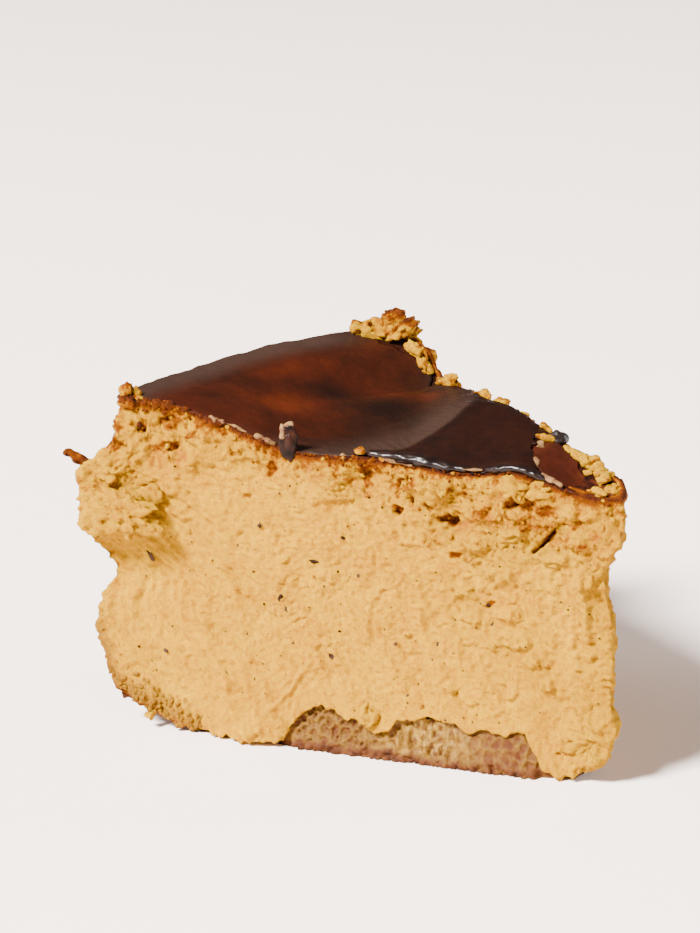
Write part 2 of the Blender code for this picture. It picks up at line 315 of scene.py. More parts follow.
class Recipe:
    """A material being put together from nodes."""

    def __init__(self, name, roughness=0.5):
        self.material = bpy.data.materials.new(name)
        self.material.use_nodes = True
        self.tree = self.material.node_tree
        self.shader = self.tree.nodes["Principled BSDF"]
        self.shader.inputs["Roughness"].default_value = roughness
        self.where = self.tree.nodes.new("ShaderNodeTexCoord").outputs["Object"]

    def put(self, socket, value):
        """Links a value to a socket, or sets it there."""
        if isinstance(value, bpy.types.NodeSocket):
            self.tree.links.new(value, socket)
        elif isinstance(value, tuple) and len(value) == 3 and socket.type == "RGBA":
            socket.default_value = (*value, 1)
        else:
            socket.default_value = value

    def mark(self, name):
        node = self.tree.nodes.new("ShaderNodeAttribute")
        node.attribute_name = name
        return node.outputs["Fac"]

    def grain(self, per_mm, detail=3.0, roughness=0.55, stretch=None, turn=None):
        """Noise with about per_mm patches to the millimetre, from 0 to 1."""
        node = self.tree.nodes.new("ShaderNodeTexNoise")
        node.inputs["Scale"].default_value = per_mm * 1000
        node.inputs["Detail"].default_value = detail
        node.inputs["Roughness"].default_value = roughness
        self.tree.links.new(self.placed(stretch, turn), node.inputs["Vector"])
        return node.outputs["Fac"]

    def cells(self, per_mm, feature="F1", randomness=1.0, stretch=None, turn=None):
        node = self.tree.nodes.new("ShaderNodeTexVoronoi")
        node.feature = feature
        node.inputs["Scale"].default_value = per_mm * 1000
        node.inputs["Randomness"].default_value = randomness
        self.tree.links.new(self.placed(stretch, turn), node.inputs["Vector"])
        return node.outputs["Distance"]

    def placed(self, stretch, turn):
        if stretch is None and turn is None:
            return self.where
        node = self.tree.nodes.new("ShaderNodeMapping")
        node.inputs["Rotation"].default_value = [math.radians(a) for a in (turn or (0, 0, 0))]
        node.inputs["Scale"].default_value = stretch or (1, 1, 1)
        self.tree.links.new(self.where, node.inputs["Vector"])
        return node.outputs["Vector"]

    def span(self, value, low, high, to_low=0.0, to_high=1.0):
        """Maps low to high of a value onto to_low to to_high, smoothly."""
        node = self.tree.nodes.new("ShaderNodeMapRange")
        node.interpolation_type = "SMOOTHSTEP"
        self.put(node.inputs["Value"], value)
        for socket, number in zip(("From Min", "From Max", "To Min", "To Max"), (low, high, to_low, to_high)):
            node.inputs[socket].default_value = number
        return node.outputs["Result"]

    def sum(self, a, b, how="ADD"):
        node = self.tree.nodes.new("ShaderNodeMath")
        node.operation = how
        self.put(node.inputs[0], a)
        self.put(node.inputs[1], b)
        return node.outputs[0]

    def blend(self, a, b, amount, how="MIX"):
        node = self.tree.nodes.new("ShaderNodeMix")
        node.data_type = "RGBA"
        node.blend_type = how
        self.put(node.inputs[0], amount)
        self.put(node.inputs[6], a)
        self.put(node.inputs[7], b)
        return node.outputs[2]

    def steps(self, value, stops):
        """A colour for each value, through stops of (value, colour)."""
        node = self.tree.nodes.new("ShaderNodeValToRGB")
        ramp_ = node.color_ramp
        for n, (at, colour) in enumerate(stops):
            stop = ramp_.elements[n] if n < 2 else ramp_.elements.new(at)
            stop.position = at
            stop.color = (*colour, 1)
        self.put(node.inputs[0], value)
        return node.outputs[0]

    def bump(self, height, distance_mm, strength=1.0, over=None):
        node = self.tree.nodes.new("ShaderNodeBump")
        node.inputs["Strength"].default_value = strength
        node.inputs["Distance"].default_value = distance_mm * MM
        self.put(node.inputs["Height"], height)
        if over is not None:
            self.put(node.inputs["Normal"], over)
        return node.outputs["Normal"]

    def set(self, **values):
        for name, value in values.items():
            self.put(self.shader.inputs[name.replace("_", " ")], value)


# Noise in packed lumps

def clumps(x, y, z, size, seed):
    """Packed rounded lumps about size wide: 0 in the creases between them, 1 on their tops."""
    x, y, z = np.broadcast_arrays(x, y, z)
    places = np.stack([x.ravel(), y.ravel(), z.ravel()], -1) / size + (seed, 2.7 * seed, 5.1)
    bent = [Vector(p) + 0.45 * noise.noise_vector(Vector(p) * 0.8) for p in places]
    near = np.array([noise.voronoi(p)[0][:2] for p in bent])
    dome = np.sqrt(np.clip(1 - (near[:, 0] / 0.85) ** 2, 0, 1))
    crease = ramp(near[:, 1] - near[:, 0], 0.0, 0.22)
    return (dome * (0.35 + 0.65 * crease)).reshape(x.shape)


def hashed(cells, seed):
    """Three steady random numbers from 0 to 1 for each cell."""
    mixed = cells @ np.array([[127.1, 269.5, 113.5], [311.7, 183.3, 271.9], [74.7, 246.1, 124.6]]) + seed
    return np.modf(np.abs(np.sin(mixed)) * 43758.5453)[0]


def chunks(x, y, z, size, seed):
    """Broken facets about size wide, each with its own height and slope, from about -1 to 1."""
    x, y, z = np.broadcast_arrays(x, y, z)
    places = np.stack([x.ravel(), y.ravel(), z.ravel()], -1) / size
    cell = np.floor(places)
    total = np.zeros(len(places))
    weight = np.full(len(places), 1e-9)
    for step in itertools.product((-1, 0, 1), repeat=3):
        corner = cell + step
        away = places - corner - hashed(corner, seed)
        own = 2 * hashed(corner, seed + 50.0) - 1
        near = np.exp(-13 * np.linalg.norm(away, axis=1))
        total += near * (own[:, 0] + 0.9 * (own[:, 1] * away[:, 0] + own[:, 2] * away[:, 2]))
        weight += near
    return (total / weight).reshape(x.shape)


def oval(s, z, form):
    """1 inside an oval (s, z, half length, half height), with a crisp edge, crispest below."""
    s0, z0, half_s, half_z = form
    far = np.sqrt(((s - s0) / half_s) ** 2 + ((z - z0) / half_z) ** 2)
    return (1 - ramp(far, 0.7, 1.1)) * (0.65 + 0.35 * ramp(z0 - z, -half_z, half_z))


def stroke(s, z, form):
    """1 along a line from (s0, z0) to (s1, z1), fading within its half width."""
    s0, z0, s1, z1, half = form
    ds, dz = s1 - s0, z1 - z0
    t = np.clip(((s - s0) * ds + (z - z0) * dz) / (ds * ds + dz * dz), 0, 1)
    far = np.hypot(s - s0 - t * ds, z - z0 - t * dz)
    return np.exp(-((far / half) ** 2)) * (0.35 + 0.65 * np.sin(np.pi * (0.15 + 0.7 * t)))


# The filling

# Torn forms on the front cut: (s, z, half length, half height) and how far they stand out
CLODS = (
    ((2.2, 41.0, 6.2, 4.6), 1.2), ((-2.5, 47.4, 4.4, 3.2), 1.0), ((5.5, 49.5, 3.0, 2.0), 0.9),
    ((16.0, 56.5, 3.2, 2.2), 0.8), ((23.5, 54.0, 2.6, 1.8), 0.6), ((44.0, 53.2, 3.0, 1.6), 0.5),
    ((69.5, 47.6, 4.2, 1.4), 0.9), ((68.0, 52.4, 4.4, 1.6), 0.6), ((75.6, 52.4, 3.0, 1.9), 1.2),
    ((58.0, 52.0, 3.0, 1.5), 0.9), ((62.0, 51.6, 1.9, 1.6), 0.9), ((82.5, 40.6, 3.2, 1.1), 1.0),
    ((87.5, 50.0, 3.0, 2.2), 1.0), ((87.0, 44.6, 3.2, 1.8), 0.9), ((66.0, 33.4, 2.4, 1.3), 0.9),
    ((67.5, 28.4, 2.2, 1.5), 0.8), ((74.0, 29.6, 1.9, 1.5), 1.0), ((76.0, 24.8, 2.7, 1.7), 1.0),
    ((79.0, 21.6, 2.1, 1.4), 0.9), ((81.8, 17.4, 1.5, 1.4), 1.3), ((63.6, 14.6, 1.4, 0.8), 0.9),
    ((73.0, 37.2, 2.6, 2.0), 0.7), ((91.0, 12.0, 2.6, 2.0), 0.9), ((86.5, 9.0, 3.0, 2.0), 0.6),
    ((69.0, 42.4, 2.4, 1.5), 0.8), ((75.2, 44.4, 2.2, 1.4), 0.8), ((56.5, 41.5, 3.0, 1.8), 0.5),
    ((38.0, 47.5, 3.0, 1.6), 0.4), ((26.0, 3.8, 3.4, 2.6), 0.6), ((71.5, 24.0, 1.7, 1.1), 0.7),
)
# Hollows, with how deep they are and how brown inside; the brown is painted shade in the hollow, and the entries 0 deep
# paint shade where clods and overhangs shadow the cut
HOLLOWS = (
    ((3.4, 33.2, 4.6, 2.6), 0.9, 0.0), ((63.4, 45.6, 2.0, 0.9), 1.9, 0.46), ((53.6, 46.4, 1.1, 0.9), 1.6, 0.42),
    ((56.4, 48.6, 0.6, 1.6), 1.1, 0.30), ((75.4, 50.0, 1.5, 1.3), 1.7, 0.42), ((80.6, 49.4, 3.6, 1.3), 0.7, 0.34),
    ((64.6, 39.5, 1.2, 0.9), 0.7, 0.42), ((11.6, 53.8, 1.5, 0.8), 0.9, 0.44), ((5.4, 57.0, 1.0, 1.6), 1.0, 0.36),
    ((30.0, 51.8, 0.9, 1.8), 0.6, 0.40), ((84.6, 46.4, 2.0, 1.0), 0.3, 0.30), ((54.6, 52.0, 0.9, 0.8), 0.8, 0.46),
    ((20.0, 58.2, 1.6, 1.0), 0.9, 0.34), ((9.5, 58.6, 1.7, 0.9), 0.9, 0.34), ((2.0, 53.0, 1.5, 1.3), 1.0, 0.30),
    ((70.6, 30.6, 1.0, 0.8), 0.4, 0.36), ((84.6, 5.0, 1.4, 0.6), 0.7, 0.30), ((47.6, 52.4, 1.2, 0.8), 0.7, 0.30),
    ((26.6, 46.4, 0.6, 0.7), 0.3, 0.30), ((88.0, 43.9, 0.8, 0.6), 0.3, 0.36), ((59.6, 48.0, 1.4, 0.8), 1.1, 0.26),
    ((-3.0, 52.6, 1.4, 1.6), 0.8, 0.34), ((35.5, 52.6, 1.4, 0.9), 0.6, 0.26), ((78.0, 45.6, 1.5, 0.9), 0.2, 0.26),
    ((79.6, 47.2, 3.8, 1.8), 0.0, 0.20), ((86.4, 43.6, 2.6, 1.8), 0.0, 0.18), ((74.4, 46.6, 3.0, 1.4), 0.0, 0.12),
    ((1.6, 45.6, 2.4, 1.6), 0.0, 0.16), ((9.8, 39.0, 1.8, 2.6), 0.0, 0.12),
)
# Ridges and creases that the knife dragged: (s0, z0, s1, z1, half width) and height
DRAGS = (
    ((24.6, 27.0, 30.2, 17.0, 0.35), -0.30), ((33.0, 10.0, 37.2, 16.4, 0.45), 0.35), ((29.8, 6.0, 32.6, 10.4, 0.45), 0.45),
    ((19.6, 9.4, 24.6, 4.4, 0.5), 0.55), ((10.5, 45.8, 16.0, 43.4, 0.45), -0.40), ((16.0, 43.4, 21.2, 39.8, 0.4), -0.35),
    ((69.8, 9.6, 73.6, 12.0, 0.4), 0.35), ((73.6, 12.0, 78.2, 8.4, 0.4), 0.35), ((78.2, 8.4, 79.0, 2.6, 0.5), 0.40),
    ((88.8, 38.0, 89.4, 27.0, 0.9), 0.80), ((85.8, 30.0, 86.6, 20.0, 0.6), 0.30), ((50.0, 33.0, 47.0, 21.0, 0.5), 0.25),
    ((57.5, 35.0, 58.6, 24.0, 0.5), 0.25), ((14.5, 40.0, 20.5, 33.4, 0.4), -0.25), ((20.2, 32.6, 23.4, 27.6, 0.4), -0.28),
    ((36.5, 30.0, 40.0, 22.0, 0.5), 0.22), ((7.0, 29.0, 12.5, 19.0, 0.6), 0.25), ((43.5, 46.0, 44.0, 38.0, 0.5), 0.25),
    ((82.0, 36.0, 82.4, 24.0, 0.7), 0.25), ((40.6, 17.0, 43.8, 11.0, 0.4), 0.30), ((64.8, 23.0, 65.4, 17.0, 0.4), 0.25),
)
SLIT = (78.9, 41.2, 83.8, 46.6, 0.30)


def front_forms(s, z):
    """The named forms of the front cut: how far it stands out, how brown (painted shade in hollows and the slit) and
    how pale (partly a painted highlight on raised forms) it is.
    """
    ragged_s = s + 0.55 * lumps(s, 9, z, 1.6, 81.0)
    ragged_z = z + 0.55 * lumps(s, 19, z, 1.6, 82.0)
    out, brown, pale = 0 * s, 0 * s, 0 * s
    for form, high in CLODS:
        shape = oval(ragged_s, ragged_z, form)
        out = out + high * shape
        # Painted highlight: raised clods are paler.
        pale = np.maximum(pale, 0.8 * shape)
    for form, deep, tint in HOLLOWS:
        shape = oval(ragged_s, ragged_z, form)
        out = out - deep * shape
        # Painted shade inside the hollow.
        brown = np.maximum(brown, tint * shape)
        pale = pale * (1 - shape)
    bent_s = s + 1.0 * lumps(s, 29, z, 6.0, 84.0)
    for form, high in DRAGS:
        line = stroke(bent_s, z, form)
        out = out + 1.7 * high * line
        # Painted highlight: raised ridges are paler.
        pale = np.maximum(pale, np.sign(high) * 0.6 * line)
    slit = stroke(ragged_s * 0.3 + s * 0.7, z, SLIT)
    # Painted shade: dark brown inside the slit.
    return out - 1.9 * slit, np.maximum(brown, 0.74 * ramp(slit, 0.2, 0.6)), pale


def rough_front(s, z):
    """1 where the front cut is torn and crumbly, 0 where it is smeared smooth."""
    wander = 2.0 * lumps(s, 0, z, 7, 83.0)
    line = 51.5 - 15.0 * hill(s, 0, 9) - 3.0 * ramp(s, 28, 42) - 10.0 * ramp(s, 50, 66)
    rough = ramp(z + wander, line - 2.5, line + 3.0)
    lumpy = 0.45 * np.exp(-(((s - 62) * 0.66 + (z - 34) * 0.75) / 5.0) ** 2) * ramp(s, 56, 64)
    foot = 0.6 * (1 - ramp(z - hem(s), 1, 5)) * (1 - ramp(s, 12, 20))
    rim = 0.62 * (1 - ramp(s, -1, 4)) + 0.7 * ramp(s, 85, 90)
    return np.clip(np.maximum.reduce([rough, lumpy, foot, rim]), 0, 1)


CREAM_COLOUR = (0.435, 0.196, 0.0)
CREAM_LIGHT = (0.58, 0.325, 0.0)
# Painted shade: the colour for pits, low spots and creases of the torn cuts.
CREAM_PIT_SHADE = (0.37, 0.100, 0.006)
CREAM_DULL = (0.385, 0.142, 0.0)
# Dull tan of painted shade near the floor and at the rim corner, with a dull crumbly crust.
CREAM_CRUST_SHADE = (0.19, 0.080, 0.012)


def cream_material():
    """Moist baked cream: yellow, paler by 'pale', partly a painted highlight on raised forms, stained orange to brown
    by its brown mark, partly painted shade in hollows, and darkened by painted shade in pits and at the lower corner.
    """
    m = Recipe("baked_cream", 0.55)
    broad = m.span(m.grain(0.14, 4, 0.6), 0.35, 0.65)
    fine = m.span(m.grain(0.8, 5, 0.7), 0.38, 0.62)
    # The pale mark is partly a painted highlight on raised clods and ridges.
    lightness = m.sum(m.sum(m.sum(broad, fine), 0.5, "MULTIPLY"), m.mark("pale"), "MAXIMUM")
    colour = m.blend(CREAM_COLOUR, CREAM_LIGHT, m.sum(lightness, 0.62, "MULTIPLY"))
    dull = m.span(m.grain(1.5, 5, 0.75), 0.50, 0.72, 0.0, 0.75)
    colour = m.blend(colour, CREAM_DULL, dull)
    # Painted shade in pits and creases, from the pits mark.
    colour = m.blend(colour, CREAM_PIT_SHADE, m.span(m.mark("pits_and_shade"), 0.1, 0.9, 0.0, 0.75))
    stain = m.sum(m.mark("browned_and_shade"), m.span(m.grain(0.9, 4, 0.7), 0.3, 0.7, -0.13, 0.13))
    stained = m.steps(stain, [
        (0.0, (0.46, 0.185, 0.0)), (0.14, (0.31, 0.102, 0.0)), (0.28, (0.165, 0.040, 0.0)),
        (0.42, (0.125, 0.028, 0.003)), (0.60, (0.062, 0.0145, 0.0045)), (0.78, (0.030, 0.0068, 0.0034)),
        (1.0, (0.011, 0.0035, 0.0022))])
    colour = m.blend(colour, stained, m.span(stain, 0.02, 0.2))
    # Painted shade near the floor and rim corner, dulled tan in patches.
    crust_shade_patches = m.span(m.grain(0.8, 4, 0.7), 0.35, 0.6, 0.55, 1.0)
    colour = m.blend(colour, CREAM_CRUST_SHADE, m.sum(m.mark("crust_and_shade"), crust_shade_patches, "MULTIPLY"))
    dust = m.span(m.cells(1.15), 0.05, 0.12, 1.0, 0.0)
    seldom = m.span(m.grain(0.6, 1), 0.58, 0.66)
    colour = m.blend(colour, (0.10, 0.03, 0.006), m.sum(m.sum(dust, seldom, "MULTIPLY"), 0.8, "MULTIPLY"))
    m.set(Base_Color=colour, Subsurface_Weight=0.2, Subsurface_Scale=0.0015, IOR=1.4)
    m.set(Subsurface_Radius=(0.85, 0.55, 0.15), Specular_IOR_Level=0.035)
    m.set(Roughness=m.span(m.grain(0.6, 3), 0.3, 0.7, 0.36, 0.6))
    torn = m.span(m.mark("torn"), 0.0, 1.0, 0.7, 1.0)
    grains = m.bump(m.sum(m.grain(1.5, 6, 0.74), torn, "MULTIPLY"), 0.62, 1.0)
    pits = m.span(m.cells(1.9), 0.0, 0.35)
    pitting = m.bump(m.sum(pits, torn, "MULTIPLY"), 0.16, 0.7, grains)
    m.set(Normal=m.bump(m.grain(3.0, 3, 0.7), 0.22, 0.9, pitting))
    return m.material


def cream_block():
    """The block for the filling, with finer faces on the front cut."""
    bm = block(CREAM_FACES, ROWS)
    front = [f for f in bm.faces if all(v.co.y < 0.0001 for v in f.verts)]
    edges = list({e for f in front for e in f.edges})
    bmesh.ops.subdivide_edges(bm, edges=edges, cuts=1, use_grid_fill=True)
    return bm


def make_cream():
    """The filling: cut faces with crags, pits and smears, over the solid's own form."""
    bm = cream_block()
    i, j, k = coords(bm).T
    places, s, turn, depth = cream_place(i, j, k)
    place_verts(bm, places)
    out = normals(bm)
    x, y, z = places.T
    along, across, up = ROWS
    on_front = 1 - ramp(j, 0, 1.0)
    on_back = 1 - ramp(across - j, 0, 1.0)
    on_tip = 1 - ramp(i, 0, 0.8)
    on_rim = ramp(i, along - 0.8, along)
    near_front = np.exp(-j / 1.6)
    side = np.clip(on_front + on_back + on_tip, 0, 1)
    torn = on_front * rough_front(s, z) + on_back * crumbly(94 - s, z) + on_tip * (0.55 + 0.4 * ramp(z, 34, 42))
    torn = np.clip(torn, 0, 1)
    forms, brown, pale = front_forms(s, z)
    bent_x = x + 1.0 * lumps(x, y, z, 2.8, 21.0)
    bent_z = z + 1.0 * lumps(x, y, z, 2.8, 22.0)
    big = chunks(bent_x, y, bent_z, 6.0, 23.0)
    mid = chunks(bent_x, y, bent_z, 2.7, 24.0)
    small = chunks(bent_x, y, bent_z, 1.15, 25.0)
    fine = lumps(x, y, z, 0.8, 26.0)
    holes = ramp(lumps(x, y, z, 3.0, 27.0), 0.5, 0.85)
    near_edge = 0.35 + 0.65 * ramp(depth, 0, 1.5)
    crags = (0.50 * big + 0.46 * mid + 0.34 * small + 0.22 * fine) * (1 + 0.9 * on_back) + 0.2 - 0.28 * holes
    lean = s * 0.90 + z * 0.43
    rise = z * 0.90 - s * 0.43
    streak = lumps(lean / 1.3, 5, rise / 14.0, 1.0, 28.0)
    flakes = ramp(lumps(x, y, z, 6.0, 29.0), 0.2, 0.6)
    smears = 0.38 * streak + 0.30 * lumps(x, y, z, 5.0, 30.0) + 0.22 * fine + 0.20 * small
    smears = smears + flakes * (0.30 * mid + 0.16 * small)
    push = side * mix(smears, crags * near_edge, torn)
    rim_relief = 0.2 * lumps(x, y, z, 3, 36.0) + 0.12 * small + near_front * (0.7 * big + 0.6 * mid + 0.25 * small)
    push = push + on_front * forms * ramp(CAKE_R - s, 0, 6) + on_rim * (1 - side) * rim_relief
    push = push - 0.5 * np.exp(-np.maximum(0, z - 0.5) / 1.2) * side
    ragged_hem = 0.5 * lumps(s, 0, 0, 1.2, 37.0) + 0.3 * chunks(s, 0, 0, 0.9, 38.0)
    hem_free = (1 - np.where(j < across / 2, front_skirt(s), back_skirt(s)).clip(0, 1)) * (1 - on_tip)
    push = push * (1 - 0.75 * hem_free * (1 - ramp(k, 0, 2.0)))
    hidden = (k < 0.001) & (j > 0.5) & (j < across - 0.5)
    places = places + out * np.where(hidden, 0.0, push)[:, None]
    places[:, 2] = places[:, 2] + ragged_hem * side * (1 - ramp(k, 0, 1.6)) * ramp(s, 8, 14)
    places[:, 0] = places[:, 0] - 1.7 * ramp(i, along - 2.5, along) * near_front * hill(z, 28.5, 4)
    places[:, 2] = np.maximum(places[:, 2], 0.0)
    places[:, 1] = np.clip(places[:, 1], -42.0, 41.6)
    place_verts(bm, places)
    rim_tone = 0.50 + 0.08 * lumps(x, y, z, 9, 33.0) + 0.10 * lumps(x, y, z, 2, 35.0) + 0.32 * ramp(z, 48, 62)
    stains = ramp(lumps(x, y, z, 3.0, 31.0), 0.15, 0.7) * torn * (1 - ramp(depth, 4, 13)) * side
    band = (0.55 + 0.5 * lumps(x, y, z, 5, 32.0)).clip(0.22, 1.5)
    below = np.maximum(depth - 0.2, 0)
    edge = 0.52 * np.exp(-below / band) + 0.14 * np.exp(-below / (4.0 * band))
    wander = lumps(x, y, z, 3.0, 34.0)
    rim_shown = on_rim * ramp(j + 0.5 * wander, 0.1, 1.0) * ramp(across - j, 0.1, 1.0)
    above_hem = z - hem(s) + 0.7 * wander
    corner = 0.50 * (1 - ramp(above_hem, 0.1, 1.2)) * (1 - ramp(s, 9, 16))
    # Real browning at the skin's edge, stains, the lower corner and the rim, with the painted shade of hollows and the
    # slit.
    browned_and_shade = np.maximum.reduce([edge * side, 0.27 * stains, (0.85 * brown + 0.4 * corner) * on_front, rim_shown * rim_tone])
    browned_and_shade = np.maximum(browned_and_shade, corner * on_front)
    # Painted shade: dull tan low down at the lower-left and along the rim corner, partly a crumbly crust, less over the
    # brown corner.
    low_edge = (1 - ramp(above_hem, 1.5, 6.0)) * (1 - ramp(s, 10, 18))
    left_edge = (1 - ramp(s + 0.8 * wander, 0.5, 3.5)) * (1 - ramp(z, 16, 24))
    crust_and_shade = 0.9 * np.maximum(low_edge, left_edge) * on_front * (1 - ramp(corner, 0.15, 0.4))
    browned_and_shade = np.where(side + on_rim < 0.05, 0.9, browned_and_shade)
    # Painted shade in the low spots between chunks and in holes of the torn cuts, weaker further below the top.
    low = (-0.4 * big - 0.55 * mid - 0.35 * small).clip(0, 1)
    pits_and_shade = np.clip(side * torn * (0.30 * holes + 0.9 * low) * (1 - 0.5 * ramp(depth, 8, 20)), 0, 1)
    marks = {"browned_and_shade": browned_and_shade, "pits_and_shade": pits_and_shade, "pale": pale * on_front, "torn": torn, "crust_and_shade": crust_and_shade}
    piece = finish_piece("cream_body", bm, cream_material(), marks)
    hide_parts("cream")
    return places[j < 0.001], s[j < 0.001], z[j < 0.001]


# The burnt skin

def burnt_material(name, stops, wrinkle, level=0.06, grainy=0.35):
    """Burnt top skin: satin, leathery, near black to mahogany by 'warm', greyed by a painted sheen where it would
    reflect the light.
    """
    m = Recipe(name, 0.4)
    cloud = m.sum(m.span(m.grain(0.09, 4, 0.6), 0.3, 0.7, -0.10, 0.10), m.span(m.grain(0.5, 3, 0.6), 0.3, 0.7, -0.05, 0.05))
    colour = m.steps(m.sum(m.mark("warm"), cloud), stops)
    # Painted sheen: a grey-brown blended into the colour where the skin would show a reflection.
    colour = m.blend(colour, (0.024, 0.0135, 0.0098), m.mark("milk"))
    m.set(Base_Color=colour, IOR=1.45, Specular_IOR_Level=level)
    gloss = m.mark("gloss")
    m.set(Roughness=m.span(gloss, 0.0, 1.0, 0.5, 0.2), Coat_Weight=m.span(gloss, 0.55, 1.0, 0.0, 0.7), Coat_Roughness=0.16)
    folds = m.bump(m.grain(0.42, 4, 0.62), 0.5, wrinkle)
    m.set(Normal=m.bump(m.grain(1.5, 3, 0.6), 0.12, grainy, folds))
    return m.material


def burnt_sheet(name, r_of, turn_of, faces, lift, material, marks, thick):
    """A thin sheet of burnt skin over the top, between radii r_of and angles turn_of."""
    bm = bmesh.new()
    bmesh.ops.create_grid(bm, x_segments=faces[0], y_segments=faces[1], size=0.5)
    grid = coords(bm)
    u, v = grid[:, 0] + 0.5, grid[:, 1] + 0.5
    turn = mix(-HALF_TURN, HALF_TURN, v)
    r = mix(*r_of(turn), u)
    turn = mix(*turn_of(r), v)
    x0, y0 = plan(r, turn, 0, 0, 0)
    z = top_height(x0, y0, r, turn) + lift(x0, y0, r, turn)
    s = CAKE_R - r
    x, y = plan(r, turn, front_cut(s, front_top(s)) + 0.25, back_cut(s, back_top(s)) + 0.25, 0)
    place_verts(bm, np.stack([x, y, z], -1))
    for mark, values in marks(x0, y0, r, turn).items():
        layer = bm.verts.layers.float.new(mark)
        for vert, value in zip(bm.verts, values):
            vert[layer] = float(value)
    bmesh.ops.solidify(bm, geom=bm.faces[:], thickness=thick * MM)
    bmesh.ops.recalc_face_normals(bm, faces=bm.faces)
    return finish_piece(name, bm, material)


def tear_radius(turn):
    """Where the skin is torn near the tip, at each angle."""
    return mix(14.2, 25.5, (turn + HALF_TURN) / (2 * HALF_TURN))


# Patches of the skin: (x, y, half width in x, in y) and how much redder they are
RED_PATCHES = (
    ((-33.0, 5.0, 4.0, 10.0), 0.20), ((-22.0, -8.0, 5.0, 7.0), 0.34), ((-16.0, 14.5, 5.0, 4.5), 0.36),
    ((-10.5, 18.0, 3.0, 3.0), 0.40), ((-30.0, -15.0, 5.0, 5.0), 0.12), ((-25.0, 6.5, 4.0, 3.6), -0.30),
    ((-13.0, 6.0, 6.0, 5.0), -0.26), ((-39.0, 24.0, 3.0, 4.0), -0.15),
)


def fold_edge(x, y):
    """Distance past the curved crest that the fold makes on the top, plus towards the tip."""
    return x - 9.0 + np.where(y > 0, 0.025, 0.016) * y * y


def skin_marks(x, y, r, turn):
    past = fold_edge(x, y) + 0.8 * lumps(x, y, 0, 4, 48.0)
    warm = 0.44 - 0.34 * ramp(x + 0.4 * y, -17, -4) + 0.06 * lumps(x, y, 0, 7, 49.0)
    for (x0, y0, half_x, half_y), amount in RED_PATCHES:
        warm = warm + amount * np.exp(-((x - x0) / half_x) ** 2 - ((y - y0) / half_y) ** 2)
    # Painted sheen: a milky reflection on the slope left of the fold's crest and a grey grazing reflection along the
    # rim.
    milk = 0.75 * ramp(past, -17, -3) * (1 - ramp(past, -1.2, 0.8)) * (1 - 0.5 * ramp(y, 4, 20))
    milk = milk + 0.9 * ramp(r, 85, 93) * (1 - ramp(turn, 12, 20))
    near_front = np.radians(turn + HALF_TURN) * r
    s = CAKE_R - r
    gloss = 0.32 + 0.05 * lumps(x, y, 0, 9, 47.0) + 0.15 * hill(near_front, 0.5, 1.2) * ramp(s, 46, 54)
    return {"warm": warm.clip(0, 1), "milk": milk.clip(0, 1), "gloss": gloss.clip(0, 1)}


BURNT_STOPS = [(0.0, (0.0058, 0.0025, 0.0019)), (0.3, (0.0120, 0.0036, 0.0020)),
               (0.6, (0.026, 0.0052, 0.0022)), (1.0, (0.052, 0.0095, 0.0028))]
TIP_STOPS = [(0.0, (0.010, 0.0028, 0.0018)), (0.5, (0.022, 0.0048, 0.0024)), (1.0, (0.055, 0.012, 0.0045))]
ROLL_STOPS = [(0.0, (0.0040, 0.0022, 0.0020)), (1.0, (0.022, 0.0075, 0.0042))]


def make_burnt_top():
    def r_of(turn):
        tear = tear_radius(turn) + 0.7 * lumps(turn, 0, 0, 3.5, 41.0) + 0.35 * lumps(turn, 0, 0, 1.2, 42.5)
        rim = CAKE_R + 0.5 + 0.3 * lumps(turn, 0, 0, 2.0, 42.0)
        return tear, rim

    def turn_of(r):
        s = CAKE_R - r
        ragged = 0.45 * lumps(s, 0, 0, 2.2, 43.0) + 0.25 * lumps(s, 0, 0, 0.8, 43.5)
        front = 0.55 + ragged - 0.7 * hill(s, 57, 7) - 0.6 * hill(s, 75, 4)
        back = 1.3 + 0.6 * lumps(s, 9, 0, 2.5, 44.0) + 6.6 * hill(s, 5, 9) + 2.6 * hill(s, 27, 7)
        return -HALF_TURN + np.degrees(front / r), HALF_TURN - np.degrees(back / r)

    def lift(x, y, r, turn):
        s = CAKE_R - r
        near_front = np.radians(turn + HALF_TURN) * r
        from_edge = np.minimum(near_front, np.radians(HALF_TURN - turn) * r)
        rolled = 0.9 * hill(s, 58, 8) * hill(near_front, 0.6, 1.5) + 0.8 * hill(s, 75, 4.5) * hill(near_front, 0.6, 1.3)
        past = fold_edge(x, y)
        fan = 0.09 * lumps(y / 0.9 + x * 0.5, x / 5.0, 0, 1, 45.0) * hill(past, -3.5, 4.0)
        leather = 0.06 * chunks(x, y, 0, 2.4, 46.0) + 0.10 * lumps(x, y, 0, 4.5, 46.5)
        crest = 0.22 * hill(past, 0.4, 1.8)
        return 0.12 + 0.33 * ramp(from_edge, 0.2, 2.0) + rolled + fan + leather + crest

    material = burnt_material("burnt_top_skin", BURNT_STOPS, 0.4, 0.035)
    return burnt_sheet("burnt_top", r_of, turn_of, (230, 110), lift, material, skin_marks, 0.45)


